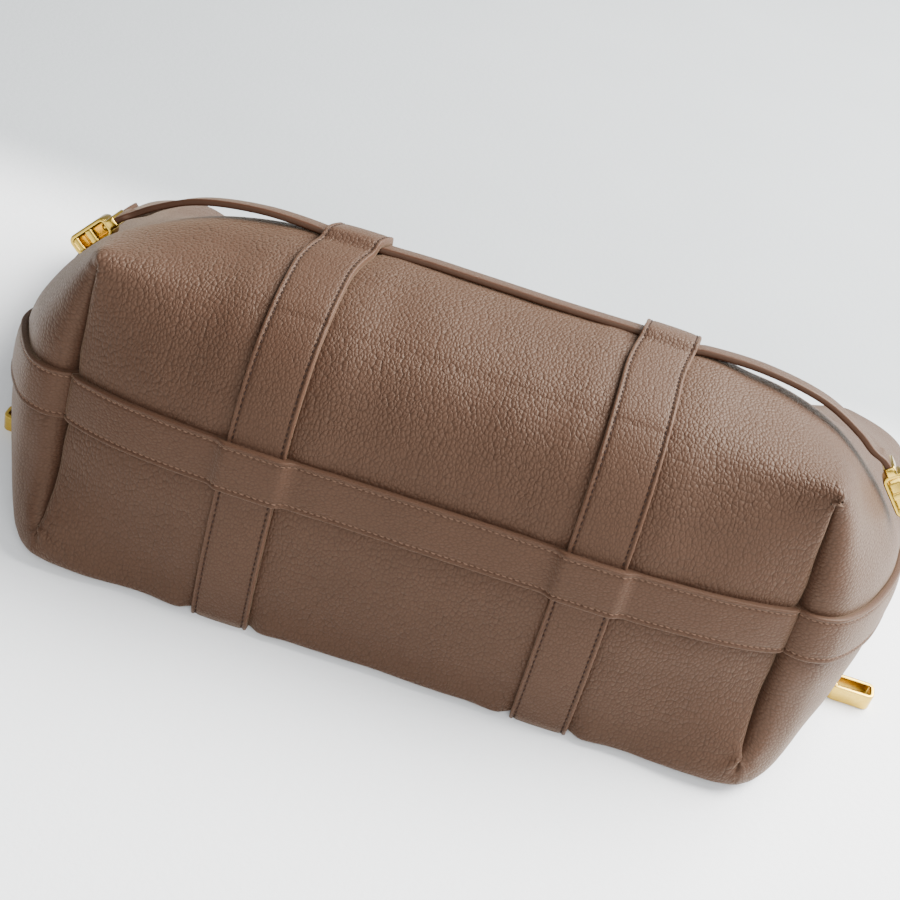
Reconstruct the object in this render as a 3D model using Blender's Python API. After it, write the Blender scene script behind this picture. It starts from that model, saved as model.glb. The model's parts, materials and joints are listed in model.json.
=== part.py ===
# Soft leather shopper bag, lying on its back face with the base turned to -Y.
# Metres, +Z up. The bag is drawn in its own axes first: x along its length, h from the base to the
# mouth, and u from the mid-plane to the front face. One turn about X then lays it on the table.

import math

import bmesh
import bpy
import numpy as np
from mathutils import Matrix, Vector

# Body
BASE_LENGTH = 0.330          # between the two seams at the ends of the base
BASE_DEPTH = 0.141           # along such a seam
BODY_HEIGHT = 0.240          # from the base to the mouth
MOUTH_LENGTH = 0.468         # the ends flare from the base to the mouth
CROWN = 0.0836               # fullest height of the front face over the mid-plane
REST_DEPTH = 0.080           # mid-plane to the back face, at the base
LEAN = math.radians(13.5)    # the mid-plane falls from the base to the mouth
BASE_BELLY = 0.006           # how far the middle of the base stands out
SEAM_DIP = 0.0095            # how far the end seams lie behind the base
CORNER_DIP = 0.005           # the same at the two front corners
BACK_CORNER_DIP = 0.004      # and at the two back corners
BACK_DEPTH = 0.077           # mid-plane to the back corners, where the base rolls under to the table
FRONT_EDGE_ROUND = 0.018     # height at which the base turns into the front face
BACK_EDGE_ROUND = 0.0025
BACK_EDGE_OUT = 0.0022       # how far the back edge of the base spreads on the table
BACK_CORNER_LIFT = 0.001
SAG_ASIDE = 0.0065           # the soft upper part of the bag has sunk to the right by this much
SAG_FROM = 0.045             # heights between which it does so
SAG_TO = 0.090
LEATHER = 0.0024
FIT = 0.0003                 # clearance between neighbouring pieces

# Straps, bands and belts
STRAP_WIDTH = 0.0265
STRAP_SPACING = 0.152
STRAP_THICKNESS = 0.003
STRAP_TUCK = 0.0072          # how far a strap runs on under the base band
BAND_WIDTH = 0.0225
BAND_EASE = 0.0006           # between a band and the leather under it
BAND_THICKNESS = 0.0026
BAND_RAMP = 0.004            # length over which the band climbs on to a strap
BELT_HEIGHT = 0.082          # middle of the belts, from the base
BELT_WIDTH = 0.014
BELT_THICKNESS = 0.003
BELT_LIFT = 0.0052           # how far the front belt stands off the face beyond the straps
BELT_CLEAR = 0.005           # length over which a strap climbs over a belt

# Belt ends
CLASP_DROP = 0.0155          # front clasps: middle, below the corner of the front face
CLASP_STAND_OFF = 0.0085
LOOP_LENGTH = 0.022
LOOP_WIDTH = 0.0105
LOOP_DEPTH = 0.009
LOOP_WALL = 0.0022
LOOP_CORNER = 0.0035
LOOP_BAR = 0.0026
TIP_LENGTH = 0.0045
TIP_LIP = 0.0012             # how far a tip stands out round its belt
PIN_RADIUS = 0.0014
PIN_HEAD = 0.0022
RING_AXIS = 0.0048           # height of the back rings' axis over the table
RING_CLEAR = 0.0099          # from the edge of the back face to the start of a back ring

# Handles
HANDLE_DROP = 0.090
HANDLE_TUBE = 0.010
HANDLE_FLAT = 0.014          # length of the flat end of a leg
HANDLE_TAPER = 0.024         # length over which it turns round
HANDLE_FOLD = 0.0002         # the fold's axis, off the face of the strap
HANDLE_GAP = 0.0005
FRONT_FOLD = math.radians(178.5)

# Inside
BOARD = 0.002
BOARD_EASE = 0.0010
LINING = 0.0012
LINING_EASE = 0.0010
LINING_END_EASE = 0.0022
FACING = 0.0016
FACING_EASE = 0.0010
SNAP_RADIUS = 0.0075
SNAP_DEPTH = 0.0025
SNAP_RIM = 0.0012
SNAP_NUB = 0.003

# Rows from the base seam to the edge of the base, as shares of half the base's depth
BASE_ROW_SHARES = (0.36, 0.55, 0.75, 0.90)
# Rows from the edge of the base to the mouth, as shares of the body's height
LOW_ROW_SHARES = (0.0, 0.03, 0.07, 0.12, 0.18, 0.24)
HIGH_ROW_SHARES = (0.46, 0.54, 0.65, 0.75, 0.87, 1.0)
FACING_SHARE = 0.87
# The outline's own keys, as shares of the body's height, and what each curve is there
KEY_SHARES = (0.0, 0.03, 0.07, 0.12, 0.18, 0.24, 0.29, 0.3125, 0.371, 0.392, 0.46, 0.54, 0.65, 0.75, 0.87, 1.0)
CROWN_SHARES = (0.758, 0.80, 0.84, 0.882, 0.925, 0.968, 0.993, 1.0, 0.975, 0.953, 0.85, 0.712, 0.545, 0.419,
                0.278, 0.144)
CORNER_SHARES = (1.0, 1.0, 0.985, 0.96, 0.925, 0.885, 0.85, 0.838, 0.805, 0.795, 0.768, 0.735, 0.68, 0.60,
                 0.468, 0.355)
FRONT_FLARE_SHARES = (0.0, 0.02, 0.045, 0.075, 0.11, 0.145, 0.17, 0.178, 0.198, 0.205, 0.225, 0.245, 0.27, 0.29,
                      0.325, 0.36)
BACK_FLARE_SHARES = (0.0, 0.10, 0.22, 0.32, 0.38, 0.41, 0.43, 0.44, 0.46, 0.47, 0.51, 0.57, 0.64, 0.70, 0.75,
                     0.78)
END_FLARE_SHARES = (0.0, 0.13, 0.30, 0.44, 0.545, 0.62, 0.67, 0.69, 0.735, 0.75, 0.80, 0.86, 0.92, 0.955,
                    0.985, 1.0)
# How square the ends are across, in front of the side seams
FRONT_END_POWERS = (1.9, 1.9, 1.9, 1.9, 1.9, 1.9, 1.9, 1.9, 1.95, 2.0, 2.15, 2.35, 2.6, 2.8, 2.95, 3.0)
END_RISE_SHARES = (1.0, 0.08, -0.29, -0.08, 0.0, 0.0, 0.0, 0.0, 0.0, 0.0, 0.0, 0.0, 0.0, 0.0, 0.0, 0.0)
# Columns from the middle of the bag, as shares of half the base's length
INNER_COLUMN_SHARE = 0.13
OUTER_COLUMN_SHARES = (0.71, 0.86, 0.955, 1.0)
# Columns from a front or back corner to the end band, and those that the lining leaves out
END_COLUMN_SHARES = {1: (0.0, 0.33, 0.66, 1.0), -1: (0.0, 0.117, 0.293, 0.66, 1.0)}
LINING_SKIP_SHARE = 0.117

EDGE_PULL = 0.10             # the round edge draws the front face in
BELLY_POWER = 2.6            # how late the base turns up to the front face
BACK_BELLY_POWER = 3.0
SPREAD_POWER = 6             # how close to the corners the faces turn square
BACK_END_POWER = 3.2         # how square the ends are across, behind the side seams
SAG_NARROW_SHARE = 0.024     # share of the length that the upper part draws in
FADE_SHARE = 0.29            # where the rows of the faces come level
SIDES = {"front": 1, "back": -1}
ENDS = {"left": -1, "right": 1}

HALF_LENGTH = BASE_LENGTH / 2
HALF_DEPTH = BASE_DEPTH / 2
HALF_BAND = BAND_WIDTH / 2
STRAP_IN = STRAP_SPACING / 2 - STRAP_WIDTH / 2
STRAP_OUT = STRAP_SPACING / 2 + STRAP_WIDTH / 2
BELT_LOW = (BELT_HEIGHT - BELT_WIDTH / 2) / BODY_HEIGHT
BELT_HIGH = (BELT_HEIGHT + BELT_WIDTH / 2) / BODY_HEIGHT
RAMP_SHARE = BELT_CLEAR / BODY_HEIGHT
STAND = STRAP_THICKNESS + FIT
SEAM_SHARE = FIT / 2 / HALF_DEPTH
BELT_OVER = FIT + BELT_THICKNESS + FIT

BELT_ROWS = (BELT_LOW - RAMP_SHARE, BELT_LOW, BELT_HIGH, BELT_HIGH + RAMP_SHARE)
FACE_ROWS = LOW_ROW_SHARES + BELT_ROWS + HIGH_ROW_SHARES
HALF_COLUMNS = (INNER_COLUMN_SHARE * HALF_LENGTH, STRAP_IN - BAND_RAMP, STRAP_IN, STRAP_OUT,
                STRAP_OUT + BAND_RAMP) + tuple(share * HALF_LENGTH for share in OUTER_COLUMN_SHARES)
COLUMNS = tuple(-x for x in reversed(HALF_COLUMNS)) + HALF_COLUMNS

LEATHER_TAN = (0.180, 0.102, 0.072)
EDGE_TAN = (0.140, 0.078, 0.055)
GOLD = (0.83, 0.60, 0.20)
LINING_BEIGE = (0.46, 0.38, 0.30)
BOARD_GREY = (0.30, 0.29, 0.27)


# Small tools

def curve(keys, values, at):
    """Value of a smooth curve through the keys, with no overshoot between them."""
    keys, values = np.asarray(keys, float), np.asarray(values, float)
    step = np.diff(keys)
    slope = np.diff(values) / step
    tangent = np.zeros_like(values)
    tangent[0], tangent[-1] = slope[0], slope[-1]
    for i in range(1, len(keys) - 1):
        if slope[i - 1] * slope[i] > 0:
            tangent[i] = 2 * slope[i - 1] * slope[i] / (slope[i - 1] + slope[i])
    i = int(np.clip(np.searchsorted(keys, at) - 1, 0, len(step) - 1))
    t = (at - keys[i]) / step[i]
    rise = (3 - 2 * t) * t * t
    return (values[i] * (1 - rise) + values[i + 1] * rise
            + step[i] * (tangent[i] * t * (1 - t) ** 2 - tangent[i + 1] * t * t * (1 - t)))


def turned_way(way):
    """A direction in the bag's own axes, in the table's."""
    x, h, u = way
    return Vector((x, h * math.cos(LEAN) + u * math.sin(LEAN), u * math.cos(LEAN) - h * math.sin(LEAN)))


def laid(point):
    """From the bag's own axes to the table's, with the upper part sunk to the right."""
    x, h, u = point
    t = min(1.0, max(0.0, (h - SAG_FROM) / (SAG_TO - SAG_FROM)))
    sag = t * t * (3 - 2 * t)
    x = x * (1 - SAG_NARROW_SHARE * sag) + SAG_ASIDE * sag
    return turned_way((x, h, u)) + Vector((0, 0, STAND + REST_DEPTH * math.cos(LEAN)))


def material(name, colour, metallic, roughness):
    made = bpy.data.materials.new(name)
    made.use_nodes = True
    shader = made.node_tree.nodes["Principled BSDF"]
    shader.inputs["Base Color"].default_value = (*colour, 1)
    shader.inputs["Metallic"].default_value = metallic
    shader.inputs["Roughness"].default_value = roughness
    return made


def place(name, mesh_maker, finish, origin=None):
    """Object from a bmesh in world coordinates, with its own origin where one is given."""
    colour, metallic, roughness = finish
    mesh = bpy.data.meshes.new(name)
    bmesh.ops.recalc_face_normals(mesh_maker, faces=mesh_maker.faces)
    origin = Vector(origin) if origin is not None else Vector((0, 0, 0))
    bmesh.ops.translate(mesh_maker, verts=mesh_maker.verts, vec=-origin)
    mesh_maker.to_mesh(mesh)
    mesh_maker.free()
    mesh.materials.append(material(name, colour, metallic, roughness))
    made = bpy.data.objects.new(name, mesh)
    made.location = origin
    bpy.context.scene.collection.objects.link(made)
    return made


LEATHER_FINISH = (LEATHER_TAN, 0.0, 0.55)
TRIM_FINISH = (EDGE_TAN, 0.0, 0.5)
METAL_FINISH = (GOLD, 1.0, 0.22)
LINING_FINISH = (LINING_BEIGE, 0.0, 0.9)
BOARD_FINISH = (BOARD_GREY, 0.0, 0.8)


# The body's outline

def rest_plane(h):
    """Height over the mid-plane of the back face, which lies on the table."""
    return -(REST_DEPTH - h * math.tan(LEAN))


def row_height(share, start):
    """Height of a face's row, whose first point stands at start."""
    fade = max(0.0, 1 - share / FADE_SHARE) ** 1.5
    return BODY_HEIGHT * share + start * fade


def half_depth(side):
    """From the seam along the middle of the base to its front or back corners."""
    return HALF_DEPTH if side > 0 else BACK_DEPTH


def base_rows(side):
    """Rows of one half of the base: beside the seam, under the band, at its edge, and on to the fold."""
    near = (FIT / 2, HALF_BAND - STRAP_TUCK, HALF_BAND)
    return tuple(distance / half_depth(side) for distance in near) + BASE_ROW_SHARES


def corner_dip(side):
    return CORNER_DIP if side > 0 else BACK_CORNER_DIP


def base_point(side, x, v):
    """Point of the base: v is 0 on the seam along its middle and 1 on its edge."""
    corner = (abs(x) / HALF_LENGTH) ** SPREAD_POWER
    if side > 0:
        h = -BASE_BELLY + (BASE_BELLY + FRONT_EDGE_ROUND) * v ** BELLY_POWER
        u = HALF_DEPTH * (v - EDGE_PULL * v ** 4)
    else:
        h = -BASE_BELLY + (BASE_BELLY + BACK_EDGE_ROUND) * v ** BACK_BELLY_POWER
        u = BACK_DEPTH * v + BACK_EDGE_OUT * v ** 4
    h_end = SEAM_DIP - (SEAM_DIP - corner_dip(side)) * v * v
    u_end = half_depth(side) * v
    return x, h + (h_end - h) * corner, side * (u + (u_end - u) * corner)


def corner_point(side, share):
    """Point of the edge between a face and an end, from the base corner up to the mouth."""
    flare = (MOUTH_LENGTH / 2 - HALF_LENGTH) * curve(
        KEY_SHARES, FRONT_FLARE_SHARES if side > 0 else BACK_FLARE_SHARES, share)
    h = row_height(share, corner_dip(side))
    if side > 0:
        return HALF_LENGTH + flare, h, HALF_DEPTH * curve(KEY_SHARES, CORNER_SHARES, share)
    lift = BACK_CORNER_LIFT * max(0.0, 1 - share / LOW_ROW_SHARES[3])
    if share == 0:
        return HALF_LENGTH, h, -BACK_DEPTH
    return HALF_LENGTH + flare, h, rest_plane(h) + lift


def dent(share):
    """The back face gives way where the belt presses into it."""
    inside = min(share - BELT_ROWS[0], BELT_ROWS[3] - share)
    return (BELT_THICKNESS + FIT) * min(1.0, max(0.0, inside / RAMP_SHARE))


def face_point(side, x, share):
    """Point of the front or back face; x is where its column starts on the base."""
    x_corner, h_corner, u_corner = corner_point(side, share)
    corner = (abs(x) / HALF_LENGTH) ** SPREAD_POWER
    if side > 0:
        h = row_height(share, FRONT_EDGE_ROUND)
        u = CROWN * curve(KEY_SHARES, CROWN_SHARES, share)
    else:
        h = row_height(share, BACK_EDGE_ROUND)
        u = rest_plane(h) if share > 0 else -(BACK_DEPTH + BACK_EDGE_OUT)
    h = h + (h_corner - h) * corner
    if side < 0 and share > 0:
        rise = u_corner - rest_plane(h_corner)
        u = rest_plane(h) + rise * corner + dent(share)
    else:
        u = u + (u_corner - u) * corner
    fixed = STRAP_OUT + BAND_RAMP
    if abs(x) > fixed:
        spread = (x_corner - fixed) / (HALF_LENGTH - fixed)
        x = math.copysign(fixed + (abs(x) - fixed) * spread, x)
    return x, h, u


def end_point(side, end, share, across):
    """Point of an end of the bag; across is its distance from the mid-plane."""
    x_corner, h_corner, u_corner = corner_point(side, share)
    if side < 0 and share > 0:
        u_corner += dent(share)
    middle = HALF_LENGTH + (MOUTH_LENGTH / 2 - HALF_LENGTH) * curve(KEY_SHARES, END_FLARE_SHARES, share)
    h_middle = BODY_HEIGHT * share + SEAM_DIP * curve(KEY_SHARES, END_RISE_SHARES, share)
    ratio = min(1.0, across / abs(u_corner))
    power = curve(KEY_SHARES, FRONT_END_POWERS, share) if side > 0 else BACK_END_POWER
    x = x_corner + (middle - x_corner) * (1 - ratio ** power)
    h = h_corner + (h_middle - h_corner) * (1 - ratio ** 2)
    if share == 0:
        x += FIT * (1 - ratio)
    return end * x, h, side * across


def end_across(side, share, column):
    """Distance from the mid-plane of an end's column; the last one is the edge of the end band."""
    depth = abs(corner_point(side, share)[2])
    if side < 0 and share > 0:
        depth -= dent(share)
    return depth - (depth - HALF_BAND) * column


def seam_mitre(side, end, v):
    """Way into the seam between the base and an end; one step along it moves both sheets by a step."""
    x = end * HALF_LENGTH
    here = laid(base_point(side, x, v))
    along = laid(base_point(side, x, v + SEAM_SHARE)) - laid(base_point(side, x, max(0.0, v - SEAM_SHARE)))
    base_way = here - laid(base_point(side, OUTER_COLUMN_SHARES[-2] * x, v))
    end_way = laid(end_point(side, end, LOW_ROW_SHARES[1], half_depth(side) * v)) - here
    base_out, end_out = along.cross(base_way).normalized(), along.cross(end_way).normalized()
    if base_out.dot(turned_way((0, 1, 0))) > 0:
        base_out, end_out = -base_out, -end_out
    return (base_out + end_out) / (1 + base_out.dot(end_out))


# Leather sheets cut from the outline

class Sheet:
    """Part of the outline as a net of four-sided cells, with a normal at each point."""

    def __init__(self):
        self.keys, self.points, self.cells, self.mitres = {}, [], [], {}

    def point(self, key, place_of, mitre=None):
        if key not in self.keys:
            if mitre is not None:
                self.mitres[len(self.points)] = mitre
            self.keys[key] = len(self.points)
            self.points.append(laid(place_of()))
        return self.keys[key]

    def net(self, grid):
        for low, high in zip(grid, grid[1:]):
            for a, b, c, d in zip(low, low[1:], high[1:], high):
                self.cells.append((a, b, c, d))

    def normals(self):
        """Average of the cells' normals, pointing out of the bag; mitred where an end meets the base."""
        centre = laid((0, BODY_HEIGHT / 2, 0))
        total = [Vector((0, 0, 0)) for _ in self.points]
        for cell in self.cells:
            a, b, c, d = (self.points[i] for i in cell)
            across = (c - a).cross(d - b)
            if across.dot((a + b + c + d) / 4 - centre) < 0:
                across = -across
            for i in cell:
                total[i] += across.normalized()
        up = turned_way((0, 0, 1))
        for key, i in self.keys.items():
            if key[-1] == "seam":
                total[i] -= up * total[i].dot(up)
        return [self.mitres.get(i, n.normalized()) for i, n in enumerate(total)]

    def solid(self, inner, outer):
        """Closed shell between two offsets, each a number or a function of a point's key."""
        mesh = bmesh.new()
        normals = self.normals()
        layers = []
        for offset in (inner, outer):
            layer = []
            for key, i in self.keys.items():
                height = offset(key) if callable(offset) else offset
                layer.append(mesh.verts.new(self.points[i] + normals[i] * height))
            layers.append(layer)
        rims = {}
        for cell in self.cells:
            a, b, c, d = cell
            bulge = self.points[a] + self.points[c] - self.points[b] - self.points[d]
            outward = normals[a] + normals[b] + normals[c] + normals[d]
            for half in ((a, b, c), (a, c, d)) if bulge.dot(outward) > 0 else ((b, c, d), (b, d, a)):
                mesh.faces.new([layers[1][i] for i in half])
                mesh.faces.new([layers[0][i] for i in reversed(half)])
            for edge in zip(cell, cell[1:] + cell[:1]):
                if edge[::-1] in rims:
                    del rims[edge[::-1]]
                elif edge in rims:
                    raise ValueError("the cells of a sheet must turn the same way")
                else:
                    rims[edge] = True
        for a, b in rims:
            mesh.faces.new((layers[1][b], layers[1][a], layers[0][a], layers[0][b]))
        return mesh


def panel_sheet(side, low_rows, face_rows, columns, end_columns, ends=True):
    """Front or back half of the bag: its half of the base, its face and its half of both ends."""
    sheet = Sheet()
    grid = []
    for v in low_rows:
        tag = "seam" if v == base_rows(side)[0] else "base"
        row = []
        for x in columns:
            mitre = seam_mitre(side, math.copysign(1, x), v) if abs(x) == HALF_LENGTH else None
            row.append(sheet.point(("base", v, x, tag), lambda x=x, v=v: base_point(side, x, v), mitre))
        grid.append(row)
    for share in face_rows:
        grid.append([sheet.point(("face", share, x, "face"), lambda x=x, s=share: face_point(side, x, s))
                     for x in columns])
    sheet.net(grid)
    if not ends:
        return sheet
    for end in ENDS.values():
        grid = []
        for share in face_rows:
            row = [sheet.point(("face", share, end * HALF_LENGTH, "face"), None)]
            for column in end_columns[1:]:
                across = end_across(side, share, column)
                mitre = seam_mitre(side, end, across / half_depth(side)) if share == 0 else None
                row.append(sheet.point(("end", share, end * column, "end"),
                                       lambda a=across, s=share: end_point(side, end, s, a), mitre))
            mitre = seam_mitre(side, end, base_rows(side)[0]) if share == 0 else None
            row.append(sheet.point(("end", share, end, "seam"),
                                   lambda s=share: end_point(side, end, s, FIT / 2), mitre))
            grid.append(row)
        if end < 0:
            grid = [row[::-1] for row in grid]
        sheet.net(grid)
    return sheet


def make_panel(name, side):
    sheet = panel_sheet(side, base_rows(side), FACE_ROWS, COLUMNS, END_COLUMN_SHARES[side])
    place(name, sheet.solid(-LEATHER, 0), LEATHER_FINISH)


def make_strap(name, side, end):
    """Strap from under the base band up to the mouth, raised over the belt."""
    columns = sorted((end * STRAP_IN, end * STRAP_OUT))
    sheet = panel_sheet(side, base_rows(side)[1:], FACE_ROWS, columns, (), ends=False)
    if side > 0:
        def under(key):
            return BELT_OVER if key[0] == "face" and BELT_LOW <= key[1] <= BELT_HIGH else FIT

        place(name, sheet.solid(under, lambda key: under(key) + STRAP_THICKNESS), LEATHER_FINISH)
        return
    mesh = sheet.solid(FIT, FIT + STRAP_THICKNESS)
    flat = {}
    for key, i in sheet.keys.items():
        if key[0] == "face" and key[1] >= LOW_ROW_SHARES[1]:
            flat[i] = sheet.points[i]
    mesh.verts.ensure_lookup_table()
    count = len(sheet.points)
    for i, point in flat.items():
        mesh.verts[i].co = Vector((point.x, point.y, STRAP_THICKNESS))
        mesh.verts[i + count].co = Vector((point.x, point.y, 0))
    place(name, mesh, LEATHER_FINISH)


def strip(rows, name, inner, outer, finish):
    """Strip laid over the outline from rows of points, each with a key, its place and its mitre."""
    sheet = Sheet()
    grid = [[sheet.point(key, lambda p=point: p, mitre) for key, point, mitre in row] for row in rows]
    sheet.net(grid)
    place(name, sheet.solid(inner, outer), finish)


def make_base_band():
    """Band over the seam of the base; it climbs over the ends of the straps."""
    rows = []
    for distance, side in ((HALF_BAND, 1), (0.0, 1), (HALF_BAND, -1)):
        v = distance / half_depth(side)
        row = []
        for x in COLUMNS:
            mitre = seam_mitre(side, math.copysign(1, x), v) if abs(x) == HALF_LENGTH else None
            row.append(((v * side, x, "band"), base_point(side, x, v), mitre))
        rows.append(row)

    def under(key):
        return STAND + BAND_EASE if STRAP_IN <= abs(key[1]) <= STRAP_OUT else BAND_EASE

    strip(rows, "base_band", under, lambda key: under(key) + BAND_THICKNESS, LEATHER_FINISH)


def make_end_band(name, end):
    """Band over a side seam, from the base seam to the mouth."""
    rows = []
    for share in FACE_ROWS:
        row = []
        for side, across in ((1, HALF_BAND), (1, 0.0), (-1, HALF_BAND)):
            point, mitre = end_point(side, end, share, across), None
            if share == 0:
                point = (point[0] + end * FIT, point[1], point[2])
                mitre = seam_mitre(side, end, across / half_depth(side))
            row.append(((share, side * across, "band"), point, mitre))
        rows.append(row)
    strip(rows, name, BAND_EASE, BAND_EASE + BAND_THICKNESS, LEATHER_FINISH)


# Belts and their metal ends

def surface_frame(side, end, share, across):
    """Point on an end of the bag with the way along the belt, the way out and the way to the mouth."""
    step = FIT
    here = laid(end_point(side, end, share, across))
    along = laid(end_point(side, end, share, across - step)) - laid(end_point(side, end, share, across + step))
    upward = turned_way((0, 1, 0))
    along = (along - upward * along.dot(upward)).normalized()
    out = along.cross(upward).normalized()
    if out.dot(Vector((end, 0, 0))) < 0:
        out = -out
    return here, along, out, upward


def clasp_frame(end):
    """Middle of a front clasp, with the way along it, the way out of the bag and the way to the mouth."""
    share = BELT_HEIGHT / BODY_HEIGHT
    across = abs(corner_point(1, share)[2]) - CLASP_DROP
    here, along, out, upward = surface_frame(1, end, share, across)
    return here + out * CLASP_STAND_OFF, along, out, upward


def ring_start(end):
    """Where a back ring starts, off the edge of the back face."""
    x, h, u = corner_point(-1, BELT_HEIGHT / BODY_HEIGHT)
    return laid((end * x, h, u)).x + end * RING_CLEAR


def ring_frame(end):
    """The same for a back ring, which lies on the table."""
    share = BELT_HEIGHT / BODY_HEIGHT
    y = laid(face_point(-1, STRAP_OUT, share)).y
    centre = Vector((ring_start(end) + end * LOOP_LENGTH / 2, y, RING_AXIS))
    return centre, Vector((end, 0, 0)), Vector((0, 0, -1)), Vector((0, 1, 0))


def belt_solid(stations):
    """Flat belt through stations of middle, way out and way across."""
    mesh = bmesh.new()
    rings = []
    for middle, out, across in stations:
        ring = []
        for n, w in ((1, 1), (1, -1), (-1, -1), (-1, 1)):
            ring.append(mesh.verts.new(middle + out * (n * BELT_THICKNESS / 2) + across * (w * BELT_WIDTH / 2)))
        rings.append(ring)
    for low, high in zip(rings, rings[1:]):
        for k in range(4):
            mesh.faces.new((low[k], low[(k + 1) % 4], high[(k + 1) % 4], high[k]))
    mesh.faces.new(rings[0])
    mesh.faces.new(rings[-1][::-1])
    return mesh


def front_belt_stations():
    """Under both straps the belt lies on the face; beyond them it stands off and turns to the clasps."""
    upward = turned_way((0, 1, 0))
    share = BELT_HEIGHT / BODY_HEIGHT
    lift_of = dict(zip(HALF_COLUMNS, (0, 0, 0, 0, 0.15, 0.65, 1.0, 1.0, 1.0)))
    stations = []
    for x in COLUMNS:
        here = (laid(face_point(1, x, BELT_LOW)) + laid(face_point(1, x, BELT_HIGH))) / 2
        tilt = (laid(face_point(1, x, BELT_HIGH)) - laid(face_point(1, x, BELT_LOW))).normalized()
        step = math.copysign(FIT, x)
        side = laid(face_point(1, x + step, share)) - laid(face_point(1, x - step, share))
        out = side.cross(tilt).normalized()
        if out.z < 0:
            out = -out
        lift = FIT + BELT_THICKNESS / 2 + BELT_LIFT * lift_of[abs(x)]
        stations.append((here + out * lift, out, tilt))
    for end in ENDS.values():
        centre, along, out, across = clasp_frame(end)
        last = centre - along * (LOOP_LENGTH / 2 + FIT + TIP_LENGTH + FIT)
        near = stations[0][0] if end < 0 else stations[-1][0]
        middle = (last - along * (last - near).length / 2 + near) / 2 + (last - near) / 4
        extra = [(middle, out, upward), (last, out, across)]
        stations = extra[::-1] + stations if end < 0 else stations + extra
    return stations


def back_belt_stations():
    """The back belt lies straight between the back face and the straps."""
    up, across = Vector((0, 0, 1)), Vector((0, 1, 0))
    y = ring_frame(1)[0].y
    height = STAND + BELT_THICKNESS / 2
    inner = STRAP_OUT + BAND_RAMP
    columns = [laid((x, BELT_HEIGHT, 0)).x for x in (-inner, 0, inner)]
    ends = [ring_start(end) - end * (FIT + TIP_LENGTH + FIT) for end in (-1, 1)]
    return [(Vector((x, y, height)), up, across) for x in ends[:1] + columns + ends[1:]]


def rounded_outline(length, width, corner, steps=3):
    """Rectangle with round corners, centred on nothing, as points in turn."""
    points = []
    for sx, sy, start in ((1, 1, 0), (-1, 1, 1), (-1, -1, 2), (1, -1, 3)):
        for k in range(steps + 1):
            angle = (start + k / steps) * math.pi / 2
            points.append((sx * (length / 2 - corner) + corner * math.cos(angle),
                           sy * (width / 2 - corner) + corner * math.sin(angle)))
    return points


def prism(outline, low, high):
    """Upright solid over an outline, between two heights."""
    mesh = bmesh.new()
    bottom = [mesh.verts.new((x, y, low)) for x, y in outline]
    top = [mesh.verts.new((x, y, high)) for x, y in outline]
    mesh.faces.new(bottom[::-1])
    mesh.faces.new(top)
    count = len(outline)
    for k in range(count):
        mesh.faces.new((bottom[k], bottom[(k + 1) % count], top[(k + 1) % count], top[k]))
    return mesh


def turned(profile, sides):
    """Solid turned about X from points of distance along it and radius; it starts and ends on X."""
    mesh = bmesh.new()
    rings = []
    for x, radius in profile:
        rings.append([mesh.verts.new((x, radius * math.cos(2 * math.pi * k / sides),
                                      radius * math.sin(2 * math.pi * k / sides))) for k in range(sides)])
    for low, high in zip(rings, rings[1:]):
        for k in range(sides):
            mesh.faces.new((low[k], low[(k + 1) % sides], high[(k + 1) % sides], high[k]))
    mesh.faces.new(rings[0])
    mesh.faces.new(rings[-1][::-1])
    return mesh


def scratch(name, mesh_maker):
    """Helper object for a cut, which is no part of the bag."""
    mesh = bpy.data.meshes.new(name)
    bmesh.ops.recalc_face_normals(mesh_maker, faces=mesh_maker.faces)
    mesh_maker.to_mesh(mesh)
    mesh_maker.free()
    made = bpy.data.objects.new(name, mesh)
    made.hide_render = True
    made.display_type = "WIRE"
    bpy.context.scene.collection.objects.link(made)
    return made


def combine(base, tools):
    """Mesh of a base object after its unions and cuts; the helpers are removed."""
    for tool, operation in tools:
        boolean = base.modifiers.new(operation.lower(), "BOOLEAN")
        boolean.operation = operation
        boolean.solver = "EXACT"
        boolean.object = tool
    bpy.context.view_layer.update()
    evaluated = base.evaluated_get(bpy.context.evaluated_depsgraph_get())
    mesh = bmesh.new()
    mesh.from_mesh(evaluated.to_mesh())
    evaluated.to_mesh_clear()
    for helper in [base] + [tool for tool, _ in tools]:
        bpy.data.objects.remove(helper, do_unlink=True)
    return mesh


def loop_mesh(barred):
    """Swivel loop: a flat oval ring along X with its hole along Z, and a hole for its pin."""
    ring = scratch("loop", prism(rounded_outline(LOOP_LENGTH, LOOP_WIDTH, LOOP_CORNER), -LOOP_DEPTH / 2,
                                 LOOP_DEPTH / 2))
    hole = scratch("hole", prism(rounded_outline(LOOP_LENGTH - 2 * LOOP_WALL, LOOP_WIDTH - 2 * LOOP_WALL,
                                                 LOOP_CORNER - LOOP_WALL), -LOOP_DEPTH, LOOP_DEPTH))
    pin_hole = scratch("pin_hole", turned([(-LOOP_LENGTH, PIN_RADIUS + FIT),
                                           (-LOOP_LENGTH / 2 + 2 * LOOP_WALL, PIN_RADIUS + FIT)], 12))
    tools = [(hole, "DIFFERENCE"), (pin_hole, "DIFFERENCE")]
    if barred:
        bar = prism(rounded_outline(LOOP_BAR, LOOP_WIDTH - LOOP_WALL, LOOP_BAR / 4), -LOOP_DEPTH / 2,
                    LOOP_DEPTH / 2)
        tools.append((scratch("bar", bar), "UNION"))
    return combine(ring, tools)


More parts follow.
